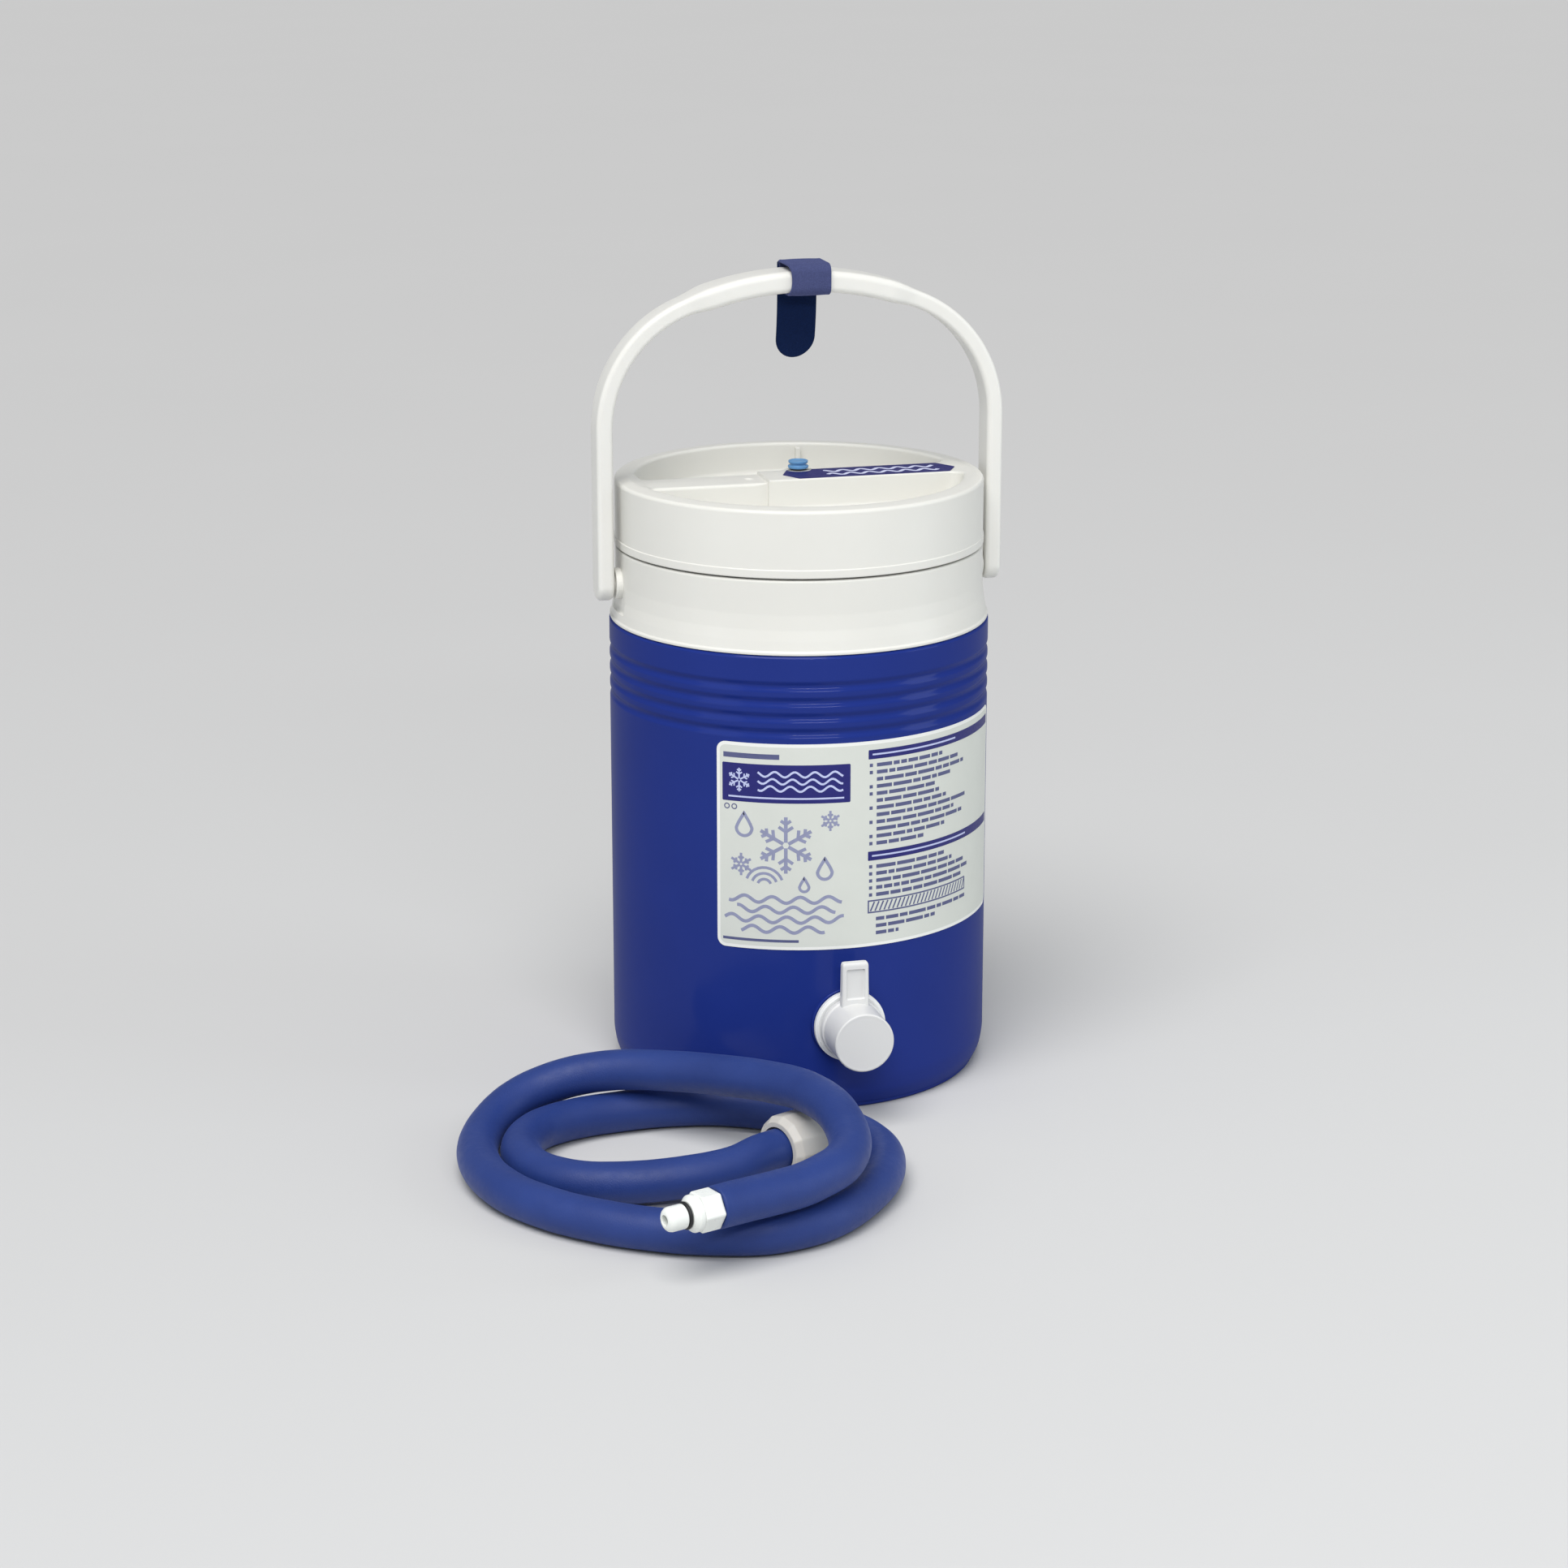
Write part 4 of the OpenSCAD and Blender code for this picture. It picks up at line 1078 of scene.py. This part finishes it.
def tape_section(width, thick, r=0.45):
    """Section of a tape with soft edges and slightly raised selvedges: (across, out)."""
    w, h = width / 2, thick / 2
    pts = rounded([(-w, -h, r), (w, -h, r), (w, h, r), (-w, h, r)], True, 22.5)
    dense = []
    m = len(pts)
    for i in range(m):
        a, b = Vector(pts[i]), Vector(pts[(i + 1) % m])
        k = max(1, int((b - a).length / 1.6))
        dense += [a.lerp(b, j / k) for j in range(k)]
    out = []
    for p in dense:
        edge = smooth((abs(p.x) - (w - 1.9)) / 0.7) * smooth((w + 0.2 - abs(p.x)) / 0.6)
        out.append((p.x, p.y + (0.10 * edge if p.y > 0 else 0)))
    return out


band_rows = []
band_sec = tape_section(20.0, 1.15)
for p, n in loop_path(11.3, 6.95, 379.75, 3.6):
    # the band hugs the grip: its left edge is pulled in a little more than its right one
    row = []
    for a, h in band_sec:
        pull = -0.22 * smooth(abs(a) / 10) ** 2
        waist = 1.3 * smooth(-a / 10) * max(0.0, 1 - ((p.z - 379.75) / 7.0) ** 2)
        row.append(p + n * (h + pull) + Vector((a + 2.5 + waist, 0, 0)))
    band_rows.append(row)
piece("strap_band_loop", [rings(band_rows, closed=True)], "handle", strap_band, ["strap_loop"], sharp=60)
piece("strap_hook_square", [soft_box(-6, 11, 12.02, 12.58, 374, 384, 0.2)], "handle", strap_hook, ["strap_hook_patch"], sharp=60)


def tail_outline(inset):
    w, z0, z1 = 9.5 - inset, 340.0 + inset, 386.0 - inset
    pts = [(2.5 + w, z1 - 0.8), (2.5 + w - 0.8, z1), (2.5 - w + 0.8, z1), (2.5 - w, z1 - 0.8)]
    pts += [(2.5 - w, z1 - 1 - (z1 - z0 - w - 1) * i / 12) for i in range(1, 12)]
    pts += [(2.5 + w * cos(pi + pi * i / 24), z0 + w + w * sin(pi + pi * i / 24)) for i in range(25)]
    pts += [(2.5 + w, z0 + w + (z1 - 1 - z0 - w) * i / 12) for i in range(1, 12)]
    return pts


def tail_bend(x, y, z):
    """The free end hangs a little askew, with a slight curl away from the grip."""
    t = max(0.0, (372 - z) / 32)
    return Vector((x - 1.0 * t * t, y + 1.6 * t * t + 0.25 * t * (x - 2.5) / 9.5, z + 0.5 * t * (x - 2.5) / 9.5))


rows = []
for inset, y in ((0.9, 12.62), (0.35, 12.66), (0.1, 12.8), (0.0, 13.1), (0.0, 13.55), (0.1, 13.85), (0.35, 13.98), (0.9, 14.02), (1.7, 13.92), (2.3, 13.9)):
    rows.append([tail_bend(x, y, z) for x, z in tail_outline(inset)])


def tail_face(inset, y):
    loop = tail_outline(inset)
    grid = [(2.5 + a * 1.9, 344 + b * 2.0) for a in range(-3, 4) for b in range(20)]
    grid = [g for g in grid if inside_loop(tail_outline(inset + 0.8), *g)]
    v, f = triangles([loop], grid, lambda x, z: inside_loop(loop, x, z))
    return [tuple(tail_bend(x, y, z)) for x, z in v], f


piece("strap_tail_end", [rings(rows, cap=False), tail_face(0.9, 12.62), tail_face(2.3, 13.9)], "handle", strap_tail, ["strap_tail"], sharp=60)


def stitches(path, y, length=2.0, gap=0.9, r=0.22):
    """A row of thread stitches along a polyline in XZ at a depth y."""
    parts = []
    line = Line([Vector((x, y, z)) for x, z in path])
    s = gap / 2
    while s + length < line.length:
        a, b = line.at(s), line.at(s + length)
        t = (b - a).normalized()
        u = Vector((0, 1, 0))
        w = t.cross(u)
        rows = []
        for k in range(7):
            q = k / 6
            rr = r * sqrt(max(0.02, 1 - (2 * q - 1) ** 4))
            c = a.lerp(b, q) + u * (0.10 * sin(pi * q))
            rows.append([c + (u * cos(pi * j / 4) + w * sin(pi * j / 4)) * rr for j in range(8)])
        parts.append(rings(rows))
        s += length + gap
    return parts


box_x = [(-5.6, 375.4), (10.6, 375.4), (10.6, 383.6), (-5.6, 383.6), (-5.6, 375.4)]
piece("strap_stitching", stitches(box_x, 13.9) + stitches([(-5.0, 375.9), (10.0, 383.1)], 13.9) + stitches([(-5.0, 383.1), (10.0, 375.9)], 13.9),
      "handle", strap_hook, sharp=60)

# ------------------------------------------------------------------ front label
LABEL_R = 90.3
A0, A1, Z0, Z1 = -39.5, 66.0, 81.0, 179.5
K = LABEL_R * pi / 180  # mm of arc per degree


def wrap(s, z, r):
    """Arc length s from the middle of the front (positive to +X) and height to a point on the jug."""
    a = s / 90.3
    return Vector((r * sin(a), -r * cos(a), z))


def film_part(outline, r_in, r_out, spacing=2.0):
    xs, zs = [p[0] for p in outline], [p[1] for p in outline]
    extra, x = [], min(xs) + spacing
    while x < max(xs) - spacing * 0.4:
        z = min(zs) + spacing * 2
        while z < max(zs) - spacing * 0.4:
            if all(inside_loop(outline, x + a, z + b) for a, b in ((0.6, 0), (-0.6, 0), (0, 0.6), (0, -0.6))):
                extra.append((x, z))
            z += spacing * 3
        x += spacing
    v, f = triangles([outline], extra, lambda x, z: inside_loop(outline, x, z))
    n = len(v)
    verts = [tuple(wrap(x, z, r_out)) for x, z in v] + [tuple(wrap(x, z, r_in)) for x, z in v]
    faces = [list(t) for t in f] + [[i + n for i in reversed(t)] for t in f]
    seen = {(a, b) for t in f for a, b in zip(t, t[1:] + t[:1])}
    faces += [[b, a, a + n, b + n] for a, b in seen if (b, a) not in seen]
    return verts, faces


def rect(s0, s1, z0, z1, r=0.0, pitch=1.6):
    """Rounded rectangle, its level edges cut into short spans so that it can wrap."""
    base = rounded([(s0, z0, r), (s1, z0, r), (s1, z1, r), (s0, z1, r)], True, 12)
    out, n = [], len(base)
    for i in range(n):
        a, b = Vector(base[i]), Vector(base[(i + 1) % n])
        k = max(1, math.ceil(abs(b.x - a.x) / pitch))
        out += [tuple(a.lerp(b, j / k)) for j in range(k)]
    return out


def bar_part(s0, s1, z0, z1, r_in, r_out, pitch=1.6):
    """A plain wrapped rectangle of quads, for rules and bars."""
    n = max(1, math.ceil((s1 - s0) / pitch))
    rows = []
    for i in range(n + 1):
        s = s0 + (s1 - s0) * i / n
        rows.append([wrap(s, z0, r_in), wrap(s, z0, r_out), wrap(s, z1, r_out), wrap(s, z1, r_in)])
    return rings(rows)


def stroke_part(points, width, r_in, r_out, closed=False):
    """A wrapped stroke of constant width along 2-D points, split finely enough to follow the jug."""
    pts = [Vector(p) for p in points]
    dense = []
    m = len(pts)
    for i in range(m if closed else m - 1):
        a, b = pts[i], pts[(i + 1) % m]
        k = max(1, math.ceil((b - a).length / 1.5))
        dense += [a.lerp(b, j / k) for j in range(k)]
    if not closed:
        dense.append(pts[-1])
    m = len(dense)
    rows = []
    for i, p in enumerate(dense):
        a = dense[i - 1] if (closed or i > 0) else dense[0]
        b = dense[(i + 1) % m] if (closed or i < m - 1) else dense[-1]
        e1 = (p - a).normalized() if (p - a).length > 1e-6 else (b - p).normalized()
        e2 = (b - p).normalized() if (b - p).length > 1e-6 else e1
        t = e1 + e2
        t = t.normalized() if t.length > 0.2 else e1
        k = min(1.6, 1 / max(0.4, t.dot(e1)))
        w = Vector((-t.y, t.x)) * (width / 2 * k)
        rows.append([wrap(*(p - w), r_in), wrap(*(p - w), r_out), wrap(*(p + w), r_out), wrap(*(p + w), r_in)])
    return rings(rows, closed=closed)


piece("label_sheet", [film_part(rect(A0 * K, A1 * K, Z0, Z1, 4.2), 90.02, LABEL_R)], "jug", label_rim, ["front_label"], sharp=40)
piece("label_field", [film_part(rect(A0 * K + 1.5, A1 * K - 1.5, Z0 + 1.5, Z1 - 1.5, 2.9), 90.27, 90.325)], "jug", label_film, sharp=40)
R1, R2, R3 = 90.30, 90.365, 90.40
LX0, LX1 = -37.7 * K, 0.3 * K
RX0, RX1 = 5.8 * K, 64.2 * K

blue, text, pale, light = [], [], [], []
blue.append(film_part(rect(LX0, LX1, 151.5, 169.7, 0.6), R1, R2))
text.append(bar_part(LX0 + 0.5, LX0 + 27, 172.2, 174.6, R1, R2))
blue.append(film_part(rect(RX0, RX1, 170.9, 175.3, 0.3), R1, R2))
blue.append(film_part(rect(RX0, RX1, 122.4, 126.8, 0.3), R1, R2))
light.append(bar_part(RX0 + 2, RX0 + 52, 172.7, 173.5, R2 - 0.01, R3))
light.append(bar_part(RX0 + 2, RX0 + 62, 124.2, 125.0, R2 - 0.01, R3))


def crystal(cx, cz, size, width, out, r_in, r_out, twigs=2):
    """Six-armed snow crystal in plain strokes."""
    for k in range(6):
        a = radians(60 * k + 30)
        u = Vector((cos(a), sin(a)))
        c = Vector((cx, cz))
        out.append(stroke_part([c + u * (0.10 * size), c + u * size], width, r_in, r_out))
        for j in range(twigs):
            q = c + u * size * (0.48 + 0.27 * j)
            for sgn in (-1, 1):
                b = a + sgn * radians(55)
                out.append(stroke_part([q, q + Vector((cos(b), sin(b))) * size * (0.30 - 0.09 * j)], width * 0.9, r_in, r_out))


def wave(s0, s1, z, amp, period, width, out, r_in, r_out, phase=0.0):
    n = int((s1 - s0) / 0.9)
    out.append(stroke_part([(s0 + (s1 - s0) * i / n, z + amp * sin(2 * pi * (s0 + (s1 - s0) * i / n) / period + phase)) for i in range(n + 1)], width, r_in, r_out))


def ring_stroke(cx, cz, r, width, out, r_in, r_out, a0=0.0, a1=360.0):
    full = abs(a1 - a0) >= 360
    n = max(8, int(abs(a1 - a0) / 12))
    pts = [(cx + r * cos(radians(a0 + (a1 - a0) * i / n)), cz + r * sin(radians(a0 + (a1 - a0) * i / n))) for i in range(n if full else n + 1)]
    out.append(stroke_part(pts, width, r_in, r_out, closed=full))


# header: a crystal, a band of waves and a rule, in pale ink on the blue block
crystal(LX0 + 8.2, 161.8, 5.6, 0.75, light, R2 - 0.01, R3)
for k, zz in enumerate((165.2, 161.8, 158.4)):
    wave(LX0 + 17, LX1 - 3.5, zz, 1.25, 9.2, 0.95, light, R2 - 0.01, R3, phase=k * 0.7)
light.append(bar_part(LX0 + 3, LX1 - 3, 153.4, 154.2, R2 - 0.01, R3))

# right column: bulleted rows of short dashes that stand in for lines of instructions
def dashes(s0, width, z, height, seed):
    """A row of dashes of uneven length, closed by one that ends at the full width."""
    s, k = s0, seed
    while s < s0 + width - 1.0:
        k = (k * 37 + 11) % 97
        run = min(3.2 + (k % 7) * 1.15, s0 + width - s)
        if s0 + width - s - run < 2.4:
            run = s0 + width - s
        text.append(bar_part(s, s + run, z - height / 2, z + height / 2, R1, R2))
        s += run + 0.85


LINES = [(168.0, 38), (164.6, 50), (161.2, 55), (157.8, 44), (154.4, 33), (151.0, 36), (147.6, 41), (144.2, 57), (140.8, 47), (137.4, 54), (134.0, 40), (130.6, 26)]
SKIP = {2, 5, 7, 9}
for i, (zz, w) in enumerate(LINES):
    if i not in SKIP:
        text.append(bar_part(RX0 + 0.6, RX0 + 2.2, zz - 0.8, zz + 0.8, R1, R2))
    dashes(RX0 + 4.2, w, zz, 1.75, 5 * i + 3)
for i, (zz, w) in enumerate([(119.4, 40), (116.0, 46), (112.6, 56), (109.2, 60), (105.8, 54)]):
    text.append(bar_part(RX0 + 0.6, RX0 + 2.2, zz - 0.8, zz + 0.8, R1, R2))
    dashes(RX0 + 4.2, w, zz, 1.75, 7 * i + 1)
# hatched note box
for zz in (102.9, 97.3):
    text.append(bar_part(RX0, RX0 + 62, zz - 0.35, zz + 0.35, R1, R2))
for x in (RX0, RX0 + 61.4):
    text.append(bar_part(x, x + 0.7, 97.3, 102.9, R1, R2))
for i in range(26):
    x = RX0 + 1.4 + i * 2.32
    text.append(stroke_part([(x, 97.9), (x + 2.0, 102.3)], 0.75, R1, R2))
for k, (zz, w) in enumerate(((94.0, 58), (90.6, 34), (87.2, 12))):
    dashes(RX0 + 4.2, w, zz, 1.7, 9 * k + 2)

# lower left: plain drawing of cold water: crystal, drops and ripples
crystal(LX0 + 30, 131.5, 13.5, 1.7, pale, R1, R2, twigs=2)
crystal(LX0 + 50.5, 143.0, 4.8, 1.1, pale, R1, R2, twigs=1)
crystal(LX0 + 9.0, 121.5, 5.4, 1.2, pale, R1, R2, twigs=1)


def drop(cx, cz, h, width, out):
    pts = []
    for i in range(28):
        a = 2 * pi * i / 28
        r = h * 0.34
        x, z = r * sin(a), -r * cos(a)
        if z > 0:
            x *= (1 - z / r) ** 0.62 + 0.0
            z = z * 1.9
        pts.append((cx + x, cz + z))
    out.append(stroke_part(pts, width, R1, R2, closed=True))


drop(LX0 + 10.5, 139.0, 11.0, 1.5, pale)
drop(LX0 + 48.0, 118.5, 10.0, 1.5, pale)
drop(LX0 + 38.5, 111.5, 6.5, 1.3, pale)
for k, (zz, x0, x1) in enumerate(((105.2, 3, 56), (100.4, 7, 53), (95.6, 1, 57), (90.8, 9, 48))):
    wave(LX0 + x0, LX0 + x1, zz, 1.5, 13.0, 1.6, pale, R1, R2, phase=k * 1.5)
for r in (3.2, 6.0, 8.8):
    ring_stroke(LX0 + 20.0, 111.8, r, 1.3, pale, R1, R2, 20, 160)
text.append(bar_part(LX0, LX0 + 36, 84.6, 85.9, R1, R2))
for i in range(2):
    ring_stroke(LX0 + 2.2 + 3.6 * i, 148.9, 1.15, 0.5, text, R1, R2)

for nm, parts, fin in (("label_print_blue", blue, ink_blue), ("label_print_text", text, ink_text), ("label_print_pale", pale, ink_pale), ("label_print_light", light, ink_light)):
    piece(nm, parts, "jug", fin, sharp=40)

# ------------------------------------------------------------------ CAD pieces that stay: finishes only
KEEP = {"inner_liner": white_liner, "insulation_foam": rigid_foam, "inner_washer": rubber_seal, "outlet_locknut": white_fitting, "lid_foam": rigid_foam}
for n, fin in KEEP.items():
    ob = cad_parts[n]
    ob.data.materials.clear()
    ob.data.materials.append(fin.mat)

# ------------------------------------------------------------------ floor and lights
floor_finish = Finish("floor_paper", (0.60, 0.60, 0.60, 1.0), 0.9, 0.03)
floor_finish.mottle(3.0, 0.004)
floor_finish.bump(floor_finish.noise(500.0, 3.0), 0.00005, 0.2)
bm = bmesh.new()
bmesh.ops.create_grid(bm, x_segments=8, y_segments=8, size=30)
me = bpy.data.meshes.new("floor")
bm.to_mesh(me)
bm.free()
floor = bpy.data.objects.new("floor", me)
scene.collection.objects.link(floor)
me.materials.append(floor_finish.mat)

world = bpy.data.worlds.new("studio")
scene.world = world
world.use_nodes = True
bg = world.node_tree.nodes["Background"]
bg.inputs["Color"].default_value = (0.93, 0.96, 1.0, 1.0)
bg.inputs["Strength"].default_value = 0.33


def sun(name, direction, strength, angle, colour=(1, 1, 1)):
    d = bpy.data.lights.new(name, "SUN")
    d.energy, d.angle, d.color = strength, radians(angle), colour
    o = bpy.data.objects.new(name, d)
    scene.collection.objects.link(o)
    o.rotation_mode = "QUATERNION"
    o.rotation_quaternion = Vector(direction).to_track_quat("-Z", "Y")
    return o


def area(name, place, aim, size, power, colour=(1, 1, 1), size_y=None):
    d = bpy.data.lights.new(name, "AREA")
    d.energy, d.color, d.size = power, colour, size
    if size_y:
        d.shape, d.size_y = "RECTANGLE", size_y
    o = bpy.data.objects.new(name, d)
    scene.collection.objects.link(o)
    o.location = place
    o.rotation_mode = "QUATERNION"
    o.rotation_quaternion = (Vector(aim) - Vector(place)).to_track_quat("-Z", "Y")
    return o


sun("sky_sun", (0.25, 0.43, -0.87), 2.5, 42, (1.0, 0.985, 0.965))
area("front_box", (-0.12, -1.35, 0.86), (0, 0, 0.2), 0.70, 4.5, (0.97, 0.98, 1.0), 0.09)
area("left_box", (-1.5, -0.75, 0.55), (0, 0, 0.15), 0.8, 3.4, (0.84, 0.94, 1.0), 1.4)
area("right_box", (1.4, -0.7, 0.5), (0, 0, 0.15), 0.6, 6, (0.86, 0.95, 1.0), 1.3)

scene.view_settings.view_transform = "Standard"
scene.view_settings.look = "None"
scene.view_settings.exposure = 0.0
scene.view_settings.gamma = 1.0
